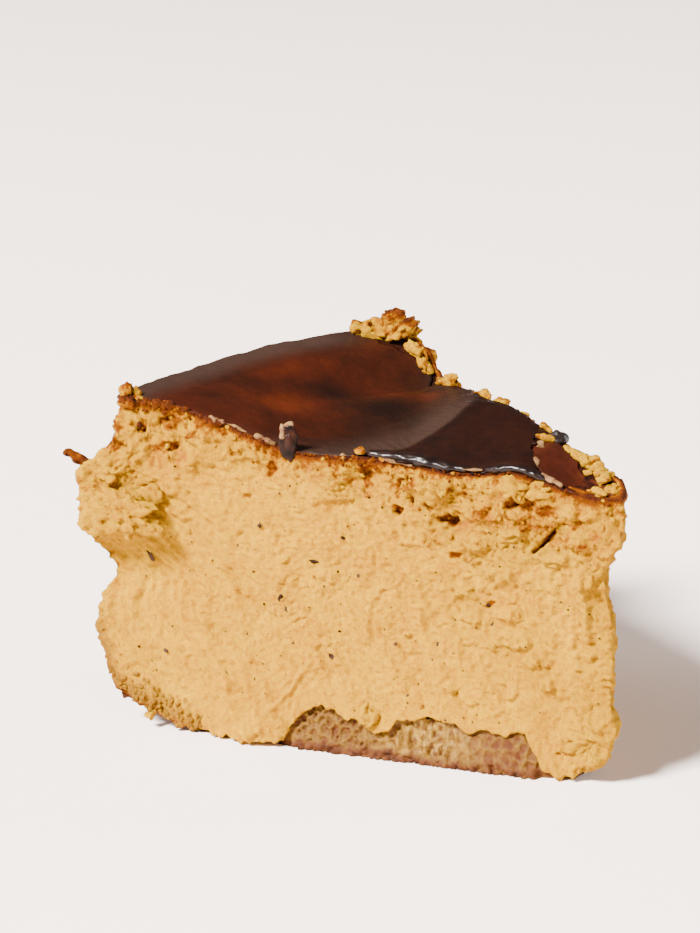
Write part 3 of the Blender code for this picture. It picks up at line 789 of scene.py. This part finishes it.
def make_tip_skin():
    def r_of(turn):
        near = 1.6 + 0.6 * lumps(turn, 5, 0, 6, 51.0)
        return near, tear_radius(turn) - 1.0 + 0.6 * lumps(turn, 2, 0, 5, 52.0)

    def turn_of(r):
        front = 0.1 + 0.25 * lumps(r, 0, 0, 2, 53.0)
        back = 1.5 + 0.5 * lumps(r, 7, 0, 2, 54.0) + 0.16 * (22 - r).clip(0, 20)
        return -HALF_TURN + np.degrees(front / r), HALF_TURN - np.minimum(np.degrees(back / r), 24.0)

    def lift(x, y, r, turn):
        return 0.28 + 0.08 * lumps(x, y, 0, 1.3, 55.0) + 0.18 * lumps(x, y, 0, 4, 56.0)

    def marks(x, y, r, turn):
        warm = 0.5 + 0.16 * lumps(x, y, 0, 5, 57.0) + 0.3 * ramp(r, 12, 4)
        return {"warm": warm, "gloss": 0.55 + 0 * x, "milk": 0 * x}

    return burnt_sheet("tip_skin", r_of, turn_of, (60, 40), lift, burnt_material("tip_skin", TIP_STOPS, 0.35), marks, 0.5)


# The sponge

def sponge_material():
    m = Recipe("sponge_base", 0.6)
    # The brown mark holds the browned underside and rim and painted shade in the pores.
    tone = m.sum(m.mark("browned_and_shade"), m.span(m.grain(0.7, 4, 0.7), 0.3, 0.7, -0.16, 0.16))
    colour = m.steps(tone, [
        (0.0, (0.152, 0.072, 0.006)), (0.3, (0.098, 0.041, 0.004)), (0.55, (0.072, 0.0195, 0.003)),
        (0.8, (0.042, 0.0105, 0.0016)), (1.0, (0.016, 0.0045, 0.001))])
    colour = m.blend(colour, (0.235, 0.130, 0.019), m.sum(m.mark("film"), m.span(m.grain(0.9, 3), 0.4, 0.6), "MULTIPLY"))
    m.set(Base_Color=colour, Specular_IOR_Level=0.12, Roughness=m.span(m.mark("film"), 0.0, 1.0, 0.6, 0.32))
    m.set(Normal=m.bump(m.grain(1.8, 5, 0.7), 0.35, 0.6))
    return m.material


def make_base():
    """The sponge layer: bubbles and film on the cuts, with painted shade in the pores, and a browned, crumbly
    underside.
    """
    rows = (30, 11, 3)
    faces = ((330, 50, 34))
    bm = block(faces, rows)
    i, j, k = coords(bm).T
    w = k / rows[2]
    outer = wall(0.0, 10.0) - BASE_STEP - 1.6 * (1 - w)
    r = mix(BASE_TIP_R, outer, i / rows[0])
    s = CAKE_R - r
    side = np.where(j < rows[1] / 2, front_skirt(s), back_skirt(s))
    shown = (1.1 + 1.3 * (1 - w)) * (1 - ramp(side, 0.35, 0.95))
    shown = np.maximum(shown, np.maximum(1.9 * hill(s, 34, 5), 1.2 * hill(s, 80, 3)))
    inset = BASE_INSET - shown + 0.35 * np.abs(lumps(r, j, w * 6, 6, 9.0)) - 0.55 * (1 - w)
    reach = HALF_TURN - inset_turn(r, inset)
    turn = mix(-reach, reach, j / rows[1])
    z = mix(base_foot(r), base_top(r), w)
    foot_front, foot_back = foot_cuts(s)
    x, y = plan(r, turn, foot_front, foot_back, 0)
    places = np.stack([x, y, z], -1)
    place_verts(bm, places)
    out = normals(bm)
    at_cut = 1 - ramp(np.minimum(j, rows[1] - j), 0, 0.6)
    at_rim = ramp(i, rows[0] - 0.8, rows[0])
    outside = np.clip(at_cut + at_rim, 0, 1)
    free = 1 - ramp(np.where(at_rim > 0.5, 0, side), 0.35, 0.95)
    film = hill(s, 59, 7.5) * ramp(z - base_foot(r), 1.0, 2.5)
    amber = hill(s, 73, 6)
    under = 1 - ramp(z - base_foot(r) + 0.6 * lumps(x, y, 0, 2, 64.0), 0.8, 2.4)
    bubbles = clumps(x, y, z * 0.8, 1.7, 61.0)
    strands = np.abs(lumps(x / 1.1, y / 1.1, z / 4.5, 1.0, 62.0))
    fine = clumps(x, y, z, 0.8, 66.0)
    pores = mix(1.0 * (0.45 - bubbles) - 0.35 * fine, 1.5 * (strands - 0.4), film)
    crumbs = 1.1 * (clumps(x, y, z, 1.6, 63.0) - 0.35) + 0.4 * (fine - 0.5)
    push = outside * free * mix(pores * (1 - 0.7 * amber), crumbs, under)
    places = places + out * push[:, None]
    places[:, 2] = np.maximum(places[:, 2], 0.0)
    place_verts(bm, places)
    # Painted shade: darker tone inside the pores, where the bubbles sink in.
    tone = 0.18 + 0.42 * (bubbles - 0.4) + 0.14 * amber + 0.12 * lumps(x, y, z, 2.5, 67.0)
    browned_and_shade = np.maximum(tone, under * (0.62 + 0.25 * lumps(x, y, z, 1.6, 65.0)))
    browned_and_shade = np.maximum(browned_and_shade, at_rim * (0.66 + 0.16 * lumps(x, y, z, 3.0, 68.0)))
    marks = {"browned_and_shade": browned_and_shade.clip(0, 1), "film": (film * (1 - under) * outside).clip(0, 1)}
    piece = finish_piece("sponge_base", bm, sponge_material(), marks)
    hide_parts("base")
    return piece


# Crumbs, flakes and specks

def crumb_mesh(place, size, seed, detail=4, yaw=0.0, lean=0.0, rough=0.34, lumpy=0.6):
    """A torn crumb: a ball of the given half-sizes with a lumpy skin."""
    bm = bmesh.new()
    bmesh.ops.create_icosphere(bm, subdivisions=detail, radius=1.0)
    p = coords(bm)
    x, y, z = p.T
    wide = max(size)
    swell = 1.0 + rough * lumps(x, y, z, 0.9, seed)
    if detail > 2:
        swell = swell + 0.6 * lumpy * chunks(x, y, z, 2.2 / wide, seed + 5.0)
        swell = swell + 0.3 * lumpy * chunks(x, y, z, 0.9 / wide, seed + 7.0)
    place_verts(bm, p * swell[:, None] / MM)
    turned = Matrix.Rotation(math.radians(yaw), 4, "Z") @ Matrix.Rotation(math.radians(lean), 4, "Y")
    placed = Matrix.Translation(Vector(place) * MM) @ turned @ Matrix.Diagonal((*(v * MM for v in size), 1.0))
    bmesh.ops.transform(bm, matrix=placed, verts=bm.verts)
    return bm


def join_meshes(bms):
    """One bmesh from several."""
    whole = bmesh.new()
    for bm in bms:
        mesh = bpy.data.meshes.new("part")
        bm.to_mesh(mesh)
        bm.free()
        whole.from_mesh(mesh)
        bpy.data.meshes.remove(mesh)
    return whole


def on_top(r, turn, lift):
    x, y = plan(r, turn, 0, 0, 0)
    return (float(x), float(y), float(top_height(x, y, r, turn) + lift))


def on_front(s, z, out):
    x, y = plan(CAKE_R - s, -HALF_TURN, front_cut(s, z) + out, 0, 0)
    return (float(x), float(y), float(z))


def on_rim_of_skin(s):
    return on_front(s, front_top(s) + 0.2, -0.45)


def shard(start, end, wide, high, seed, ragged=0.45):
    """A torn strip from start to end, with a ragged outline and broken facets."""
    bm = bmesh.new()
    bmesh.ops.create_icosphere(bm, subdivisions=5, radius=1.0)
    p = coords(bm)
    axis = Vector(end) - Vector(start)
    half = axis.length / 2
    along = p[:, 0] * half
    fuller = (1 - p[:, 0] ** 2).clip(0.03, 1) ** -0.3
    y, z = p[:, 1] * wide, p[:, 2] * high
    swell = fuller * (1 + ragged * lumps(along, y, z, 1.5, seed) + 0.6 * ragged * chunks(along, y, z, 1.1, seed))
    bend = 0.6 * lumps(along, 0, 0, 2.6, seed + 3.0)
    place_verts(bm, np.stack([along, y * swell + bend * wide, z * swell], -1))
    middle = (Vector(start) + Vector(end)) / 2
    turned = axis.to_track_quat("X", "Z").to_matrix().to_4x4()
    bmesh.ops.transform(bm, matrix=Matrix.Translation(middle * MM) @ turned, verts=bm.verts)
    return bm


def dried_material():
    """Beige crumbs that have dried on the skin, browned in spots."""
    m = Recipe("dried_crumb", 0.7)
    pale = m.blend((0.085, 0.040, 0.013), (0.205, 0.112, 0.042), m.span(m.grain(0.7, 4, 0.7), 0.35, 0.65))
    colour = m.blend(pale, (0.10, 0.032, 0.014), m.span(m.grain(0.5, 3, 0.6), 0.52, 0.68))
    m.set(Base_Color=colour, Specular_IOR_Level=0.1, Normal=m.bump(m.grain(2.0, 4, 0.7), 0.3, 0.8))
    return m.material


def finish_crumbs(name, bms, brown, patchy, scorched=0.0, pale=0.0, crust_and_shade=0.0):
    """Joins torn crumbs: brown sets their tint, patchy how uneven it is, scorched their tops."""
    bm = join_meshes(bms)
    places = coords(bm) / MM
    places[:, 2] = places[:, 2].clip(0.02)
    place_verts(bm, places)
    x, y, z = places.T
    tint = brown + patchy * lumps(x, y, z, 1.8, 71.0) + 0.5 * patchy * lumps(x, y, z, 0.7, 73.0)
    tint = tint + scorched * ramp(z + lumps(x, y, z, 1.5, 74.0), 64.5, 67.5)
    pits_and_shade = 0.4 * ramp(lumps(x, y, z, 1.3, 72.0), 0.1, 0.7)
    marks = {"browned_and_shade": tint.clip(0, 1), "pits_and_shade": pits_and_shade, "torn": 1 + 0 * x, "pale": pale + 0 * x, "crust_and_shade": crust_and_shade + 0 * x}
    return finish_piece(name, bm, bpy.data.materials["baked_cream"], marks)


def make_crumbs():
    yaw = HALF_TURN
    finish_crumbs("torn_corner", [
        crumb_mesh(on_top(90.3, 20.6, 0.2), (4.6, 3.0, 3.2), 11, 5, 30),
        crumb_mesh(on_top(91.3, 21.4, 2.6), (2.6, 1.8, 2.4), 12, 5, 20, 25),
        crumb_mesh(on_top(86.6, 20.8, 2.6), (2.6, 1.7, 1.3), 13, 4, 60, -28),
        crumb_mesh(on_top(93.0, 17.6, 0.9), (2.2, 1.6, 1.9), 26, 4, 70),
        crumb_mesh(on_top(93.6, 19.4, 2.4), (1.2, 1.0, 1.1), 29, 3, 10),
        crumb_mesh(on_top(82.0, 21.4, -0.2), (3.4, 1.5, 2.0), 14, 4, -23, 20),
        crumb_mesh(on_top(78.5, 21.6, -0.8), (2.2, 1.2, 1.6), 30, 4, -23, 20),
    ], 0.05, 0.16, 0.46, 0.4)
    finish_crumbs("edge_crumbs", [
        crumb_mesh(on_top(67.5, 21.4, 0.4), (3.0, 1.5, 1.3), 15, 4, -20),
        crumb_mesh(on_top(65.0, 21.0, 1.2), (1.2, 0.9, 1.3), 31, 3, 20),
        crumb_mesh(on_top(54.5, 22.0, 0.3), (1.5, 1.1, 1.0), 16, 3, 10),
        crumb_mesh(on_top(47.2, 22.2, 0.1), (1.5, 1.0, 0.9), 17, 3, 40),
        crumb_mesh(on_top(38.0, 22.0, 0.1), (1.2, 0.9, 0.8), 27, 3, 15),
        crumb_mesh(on_top(28.5, 21.4, 0.2), (1.6, 1.0, 1.1), 28, 3, -15),
        crumb_mesh(on_top(93.4, -22.0, 0.7), (1.1, 0.9, 1.5), 21, 4, 10, 12, 0.5, 0.8),
        crumb_mesh(on_top(91.9, -21.6, 0.6), (0.8, 0.7, 1.0), 24, 3, 40, -20, 0.5, 0.6),
        crumb_mesh(on_top(91.0, -22.3, 0.0), (1.6, 0.8, 0.7), 32, 3, -20),
        crumb_mesh(on_front(46.5, 56.4, -0.5), (1.2, 0.8, 0.8), 33, 3, yaw),
        crumb_mesh(on_front(1.2, 61.0, 0.0), (1.6, 1.0, 0.9), 34, 3, yaw, 20),
        crumb_mesh(on_top(21.6, 13.0, 0.6), (1.7, 0.8, 0.9), 35, 3, 50, 30),
    ], 0.13, 0.22, 0.0, 0.3)
    finish_piece("pale_flakes", join_meshes([
        shard(on_rim_of_skin(17.6), on_rim_of_skin(20.6), 0.62, 0.40, 361, 0.8),
        shard(on_rim_of_skin(20.2), on_rim_of_skin(23.4), 0.45, 0.32, 362, 0.9),
        shard(on_rim_of_skin(23.2), on_rim_of_skin(25.2), 0.36, 0.26, 363, 0.9),
        shard(on_rim_of_skin(26.6), on_rim_of_skin(30.6), 0.46, 0.32, 364, 0.9),
        shard(on_front(32.2, 60.0, 0.5), on_front(31.9, 57.4, 0.6), 0.62, 0.5, 365),
        shard(on_front(32.4, 59.8, 0.6), on_front(34.0, 60.2, 0.4), 0.5, 0.5, 352),
        shard(on_front(43.0, 55.3, -0.3), on_front(44.2, 55.0, -0.3), 0.5, 0.5, 366),
        shard(on_front(51.4, 55.6, 0.1), on_front(56.8, 55.0, 0.4), 0.4, 0.26, 367),
        shard(on_front(66.0, 55.2, 0.3), on_front(69.6, 55.3, 0.3), 0.35, 0.24, 368),
        shard(on_front(78.6, 55.8, -0.6), on_front(84.6, 54.2, 0.1), 0.6, 0.42, 369, 0.3),
        shard(on_top(15.8, -16.0, 0.2), on_top(17.4, -8.0, 0.2), 0.45, 0.3, 370, 0.8),
        shard(on_top(19.6, 4.0, 0.2), on_top(21.4, 10.0, 0.3), 0.5, 0.4, 371, 0.8),
    ]), dried_material())
    finish_crumbs("tip_ridge", [
        crumb_mesh(on_front(90.2, 53.0, -0.5), (1.5, 0.9, 0.8), 372, 4, yaw, 10, 0.3, 0.6),
        crumb_mesh(on_top(17.2, 17.5, -0.3), (1.9, 1.2, 1.0), 373, 4, -20, 0, 0.3, 0.6),
        crumb_mesh(on_top(14.6, 16.5, -0.2), (2.1, 1.3, 1.0), 374, 4, -15, 10, 0.3, 0.6),
        crumb_mesh(on_top(11.6, 14.5, -0.1), (2.0, 1.4, 1.1), 375, 4, -30, -8, 0.3, 0.6),
        crumb_mesh(on_top(9.4, 16.0, -0.2), (1.9, 1.5, 1.1), 376, 4, -50, 6, 0.3, 0.6),
        crumb_mesh(on_top(6.6, 15.0, -0.2), (2.0, 1.4, 1.2), 377, 4, -60, 0, 0.3, 0.6),
        crumb_mesh(on_top(4.0, 10.0, -0.2), (1.9, 1.4, 1.1), 378, 4, -75, 8, 0.3, 0.6),
        crumb_mesh(on_top(1.8, 0.0, -0.3), (1.7, 1.4, 1.0), 379, 4, -80, 0, 0.3, 0.6),
        crumb_mesh(on_top(8.0, 3.0, 0.3), (0.8, 0.6, 0.5), 380, 3, 20, 0, 0.3, 0.6),
    ], 0.02, 0.10, 0.0, 0.7)
    finish_crumbs("hanging_flakes", [
        shard(on_front(46.6, 8.8, 0.3), on_front(49.8, 6.6, 0.6), 1.3, 1.5, 381, 0.5),
        shard(on_front(89.5, 9.8, -1.0), on_front(94.8, 11.6, -2.0), 1.0, 1.0, 382, 0.5),
        shard(on_front(89.0, 4.0, -0.6), on_front(93.0, 6.0, -1.6), 1.2, 1.0, 384, 0.6),
        shard(on_front(4.4, 2.6, 0.4), on_front(6.2, 2.2, 0.6), 0.8, 0.7, 383, 0.5),
    ], 0.0, 0.03, 0.0, 1.0)


# Clods that hang out over the front cut: (s, z, out), half sizes, lean and how fine their mesh is
HANGING = (
    ((2.6, 41.2, 0.4), (5.4, 2.0, 3.7), 14, 5), ((-1.6, 47.8, 0.3), (4.2, 1.9, 2.6), -20, 5),
    ((6.6, 44.6, 0.1), (2.4, 1.2, 1.8), 30, 4), ((75.4, 52.6, 0.1), (2.8, 1.5, 1.7), 10, 4),
    ((80.0, 52.6, 0.0), (2.6, 1.3, 1.6), -15, 4), ((66.5, 48.0, -0.2), (3.6, 1.2, 1.2), 12, 4),
    ((82.4, 40.4, -0.1), (3.2, 1.2, 1.1), 8, 4), ((86.8, 45.6, -0.2), (3.0, 1.5, 2.0), 25, 4),
    ((66.0, 33.2, -0.3), (2.4, 1.0, 1.3), 10, 4), ((75.6, 29.2, -0.2), (1.7, 1.1, 1.3), -10, 4),
    ((75.8, 24.4, -0.2), (2.5, 1.1, 1.4), 20, 4), ((79.4, 21.2, -0.2), (1.8, 1.0, 1.2), 0, 4),
    ((82.0, 17.2, -0.2), (1.4, 1.2, 1.4), 0, 4), ((63.8, 14.6, -0.2), (1.4, 0.8, 0.8), 0, 3),
    ((58.0, 51.6, -0.3), (2.8, 1.2, 1.5), 20, 4), ((16.4, 56.0, -0.4), (3.0, 1.2, 2.0), 15, 4),
    ((72.6, 36.6, -0.4), (2.4, 1.0, 1.8), 40, 4), ((44.4, 53.0, -0.4), (2.6, 1.0, 1.4), 10, 4),
    ((89.6, 37.6, -0.2), (1.5, 1.2, 2.2), 10, 4), ((90.6, 30.0, -0.3), (1.4, 1.1, 2.6), -8, 4),
    ((88.0, 14.4, -0.3), (2.0, 1.1, 1.5), 30, 4), ((87.8, 6.6, -0.2), (2.8, 1.2, 1.6), -20, 4),
)


def make_clods():
    """Clods torn half free of the front cut."""
    bms = []
    for n, ((s, z, out), sizes, lean, detail) in enumerate(HANGING):
        bms.append(crumb_mesh(on_front(s, z, out - 0.3), sizes, 500 + n, detail, HALF_TURN, lean, 0.34, 0.55))
    # Painted highlight: the clods that stand out are paler.
    finish_crumbs("cream_clods", bms, 0.0, 0.08, 0.0, 0.45)


def sprinkle(front, seed, count, wanted, sizes, sink, detail=2):
    """Tiny bits at chosen places of the front cut: wanted gives each place's chance."""
    places, s, z = front
    rng = np.random.default_rng(seed)
    chance = wanted(s, z).clip(0, None)
    picked = rng.choice(len(s), size=count, p=chance / chance.sum())
    bits = []
    for n in picked:
        size = rng.uniform(*sizes)
        shape = tuple(size * rng.uniform(0.6, 1.3, 3))
        place = places[n] - Vector(FRONT_OUT) * sink * size
        bits.append(crumb_mesh(place, shape, 100 + int(n) % 900, detail, rng.uniform(0, 180), rng.uniform(-40, 40)))
    return bits


FRONT_OUT = (math.sin(math.radians(HALF_TURN)), -math.cos(math.radians(HALF_TURN)), 0.0)

# Vanilla specks on the front cut: (s, z, half length, half height, lean)
SPECKS = (
    (8.5, 33.0, 0.45, 1.5, -24), (38.0, 35.2, 1.0, 0.3, 6), (24.3, 36.3, 0.4, 0.5, 0), (28.2, 41.0, 0.4, 0.5, 0),
    (43.3, 40.0, 0.5, 0.35, 20), (31.3, 27.8, 0.4, 0.55, 20), (32.2, 25.6, 0.4, 0.6, -20), (41.2, 18.1, 0.6, 0.9, 0),
    (12.0, 15.2, 0.6, 0.5, 0), (46.4, 33.6, 0.4, 0.4, 0), (42.2, 33.6, 0.2, 0.25, 0), (42.6, 22.6, 0.3, 0.22, 0),
    (53.2, 21.7, 0.35, 0.4, 0), (51.0, 24.0, 0.2, 0.35, 0), (61.0, 22.2, 0.4, 0.5, 30), (71.2, 27.0, 0.5, 0.7, -20),
    (70.5, 30.6, 0.4, 0.4, 0), (66.8, 31.8, 0.2, 0.18, 0), (55.8, 12.2, 0.3, 0.3, 0), (27.0, 11.8, 0.2, 0.3, 0),
    (33.5, 19.3, 0.25, 0.25, 0), (22.0, 20.0, 0.22, 0.22, 0), (25.5, 20.0, 0.2, 0.3, 20), (28.0, 26.0, 0.22, 0.22, 0),
    (7.3, 15.4, 0.25, 0.3, 0), (86.4, 6.5, 0.35, 0.35, 0), (48.0, 48.2, 0.35, 0.35, 0), (31.7, 47.0, 0.22, 0.22, 0),
    (21.6, 26.6, 0.2, 0.2, 0), (19.6, 33.2, 0.2, 0.2, 0), (14.0, 30.4, 0.2, 0.2, 0), (17.4, 26.0, 0.18, 0.18, 0),
    (75.5, 42.3, 0.22, 0.35, 0), (64.3, 27.2, 0.2, 0.22, 0), (57.6, 14.4, 0.2, 0.3, 0), (84.9, 5.2, 0.7, 0.25, 10),
)


def front_point(front, s0, z0):
    """The point of the finished front cut nearest to (s0, z0)."""
    places, s, z = front
    return places[np.argmin((s - s0) ** 2 + (z - z0) ** 2)]


def make_specks(front):
    bits = []
    for n, (s0, z0, half_s, half_z, lean) in enumerate(SPECKS):
        place = Vector(front_point(front, s0, z0)) - Vector(FRONT_OUT) * 0.08
        bits.append(crumb_mesh(place, (half_s, 0.2, half_z), 200 + n, 3, HALF_TURN, lean, 0.35, 0.3))
    bits += sprinkle(front, 5, 200, lambda s, z: 1.0 + 0 * s, (0.09, 0.22), 0.2)
    bm = join_meshes(bits)
    m = Recipe("vanilla_specks", 0.6)
    tone = m.span(m.grain(0.35, 2), 0.4, 0.6)
    m.set(Base_Color=m.blend((0.016, 0.008, 0.0045), (0.050, 0.028, 0.017), tone), Specular_IOR_Level=0.0)
    return finish_piece("vanilla_specks", bm, m.material)


def make_loose_crumbs(front):
    """Small torn grains: golden in the crumbly band, browner along the skin."""
    def in_band(s, z):
        return rough_front(s, z) * ramp(z, 30, 50) + 0.02

    def at_skin(s, z):
        return np.exp(-np.abs(front_top(s) - z) / 0.6) * (0.35 + 0.65 * (1 - ramp(s, 48, 56)))

    def at_corner(s, z):
        return at_skin(s, z) * (1 - ramp(s, 6, 16))

    def at_foot(s, z):
        return np.exp(-np.abs(z - hem(s) - 1.5) / 1.5) * (1 - ramp(s, 12, 18))

    finish_crumbs("band_grains", sprinkle(front, 7, 260, in_band, (0.18, 0.55), 0.2), 0.08, 0.14)
    finish_crumbs("skin_grains", sprinkle(front, 8, 150, at_skin, (0.15, 0.42), 0.1), 0.48, 0.16)
    corner = sprinkle(front, 9, 36, at_corner, (0.3, 0.75), 0.0, 3)
    finish_crumbs("corner_grains", corner, 0.45, 0.25)
    # The foot grains get the same dull tan painted shade.
    finish_crumbs("foot_grains", sprinkle(front, 10, 110, at_foot, (0.25, 0.65), 0.2), 0.0, 0.08, 0.0, 0.0, 0.75)


def roll(s0, s1, thick, out, up, seed):
    """A rolled lip of skin along the front edge, from s0 to s1."""
    bm = bmesh.new()
    bmesh.ops.create_icosphere(bm, subdivisions=5, radius=1.0)
    p = coords(bm)
    lengthwise = (1 - p[:, 0] ** 2).clip(0.0004, 1)
    across = lengthwise ** -0.28
    s = mix(s0, s1, (p[:, 0] + 1) / 2)
    bumpy = 0.10 * lumps(p[:, 0] * 7, p[:, 1] * 1.5, p[:, 2] * 1.5, 1, seed + 1)
    swell = thick * (1 + 0.25 * lumps(s, 0, 0, 3, seed)) * (1 + bumpy)
    outward = out + p[:, 1] * -1 * swell * across + 0.2 * lumps(s, 0, 0, 4, seed + 2)
    z = front_top(s) + up + p[:, 2] * 0.72 * swell * across
    x, y = plan(CAKE_R - s, -HALF_TURN + 0 * s, outward, 0, 0)
    place_verts(bm, np.stack([x, y, z], -1))
    bmesh.ops.recalc_face_normals(bm, faces=bm.faces)
    return bm


def make_burnt_bits():
    yaw = HALF_TURN
    bm = join_meshes([
        roll(48.0, 66.8, 1.3, -0.4, 0.8, 301), roll(70.0, 81.6, 1.1, -0.3, 0.7, 305),
        crumb_mesh(on_top(21.4, 18.6, 0.7), (1.7, 1.5, 1.35), 18, 4, 20, 0, 0.34, 0.12),
    ])
    x, y, z = (coords(bm) / MM).T
    warm = 0.12 + 0.35 * ramp(-x, 0, 12) + 0.1 * lumps(x, y, z, 1.5, 74.0)
    marks = {"warm": warm, "gloss": 0.62 - 0.16 * ramp(-x, 0, 12) - 0.4 * ramp(y, 0, 2), "milk": 0 * x}
    finish_piece("burnt_bits", bm, burnt_material("rolled_skin", ROLL_STOPS, 0.10, 0.22, 0.30), marks)
    drop = crumb_mesh(on_front(33.3, 56.4, 0.1), (1.7, 1.0, 3.3), 22, 5, yaw, -6, 0.22, 0.10)
    x, y, z = (coords(drop) / MM).T
    marks = {"warm": 0.5 + 0.5 * lumps(x, y, z, 1.5, 76.0), "gloss": 0.60 + 0 * x, "milk": 0 * x}
    finish_piece("burnt_drop", drop, burnt_material("drop_skin", ROLL_STOPS, 0.15, 0.06, 0.30), marks)
    finish_crumbs("rim_flake", [
        shard(on_front(-12.0, 50.4, -1.6), on_front(-6.4, 48.6, -1.6), 1.5, 0.75, 391, 0.35),
        shard(on_front(-7.6, 49.3, -1.6), on_front(-3.6, 47.2, -1.2), 1.6, 0.8, 392, 0.4),
    ], 0.52, 0.2)


def make_stage():
    bm = bmesh.new()
    bmesh.ops.create_grid(bm, x_segments=2, y_segments=2, size=4.0)
    mesh = bpy.data.meshes.new("floor")
    bm.to_mesh(mesh)
    bm.free()
    floor = bpy.data.objects.new("floor", mesh)
    bpy.context.scene.collection.objects.link(floor)
    m = Recipe("pale_table", 0.7)
    m.set(Base_Color=(0.92, 0.79, 0.72), Specular_IOR_Level=0.1)
    mesh.materials.append(m.material)


CAMERA_TURN, CAMERA_RISE = 44.5, 15.0
CAMERA_FAR = 660.0
CAMERA_AIM = (-14.85, 0.745, 46.2)
LENS = 3588 * 36 / 933


def view_axes():
    a, e = math.radians(CAMERA_TURN), math.radians(CAMERA_RISE)
    back = Vector((math.sin(a) * math.cos(e), -math.cos(a) * math.cos(e), math.sin(e)))
    right = Vector((math.cos(a), math.sin(a), 0))
    return right, back.cross(right), back


def make_camera():
    right, up, back = view_axes()
    data = bpy.data.cameras.new("camera")
    data.sensor_width = 36
    data.lens = LENS
    data.clip_start = 0.01
    camera = bpy.data.objects.new("camera", data)
    turn = Matrix((right, up, back)).transposed().to_4x4()
    camera.matrix_world = Matrix.Translation((Vector(CAMERA_AIM) + back * CAMERA_FAR) * MM) @ turn
    bpy.context.scene.collection.objects.link(camera)
    bpy.context.scene.camera = camera


def add_light(name, place, aim, size, watts, colour):
    data = bpy.data.lights.new(name, "AREA")
    data.shape = "DISK"
    data.size = size
    data.energy = watts
    data.color = colour
    light = bpy.data.objects.new(name, data)
    ray = Vector(aim) - Vector(place)
    light.matrix_world = Matrix.Translation(place) @ ray.to_track_quat("-Z", "Y").to_matrix().to_4x4()
    bpy.context.scene.collection.objects.link(light)


def make_lights():
    right, up, back = view_axes()
    flat_back = Vector((back.x, back.y, 0)).normalized()
    high = Vector((0, 0, 1))
    aim = Vector((0, 0, 0.03))
    add_light("window", -right * 1.75 + flat_back * 1.4 + high * 2.2, aim, 0.9, 745, (1, 0.98, 0.96))
    add_light("bounce", right * 1.4 + flat_back * 2.4 + high * 0.9, aim, 1.6, 30, (1, 0.84, 0.74))
    add_light("behind", -right * 1.9 - flat_back * 1.1 + high * 1.0, aim, 1.4, 34, (1.0, 0.98, 0.96))
    add_light("side", right * 1.9 - flat_back * 0.75 + high * 0.45, aim, 0.9, 62, (1.0, 0.98, 0.96))
    world = bpy.data.worlds.new("studio")
    world.use_nodes = True
    world.node_tree.nodes["Background"].inputs["Color"].default_value = (1.0, 0.97, 0.95, 1)
    world.node_tree.nodes["Background"].inputs["Strength"].default_value = 0.08
    bpy.context.scene.world = world


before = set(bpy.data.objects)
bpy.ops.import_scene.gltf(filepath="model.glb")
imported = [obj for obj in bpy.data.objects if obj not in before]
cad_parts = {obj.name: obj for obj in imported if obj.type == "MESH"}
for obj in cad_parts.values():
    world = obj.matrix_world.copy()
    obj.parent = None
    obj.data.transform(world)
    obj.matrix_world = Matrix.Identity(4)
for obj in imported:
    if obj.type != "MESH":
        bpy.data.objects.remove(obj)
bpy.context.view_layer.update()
make_camera()
make_lights()
make_stage()
front = make_cream()
make_burnt_top()
make_tip_skin()
make_base()
make_crumbs()
make_clods()
make_burnt_bits()
make_specks(front)
make_loose_crumbs(front)
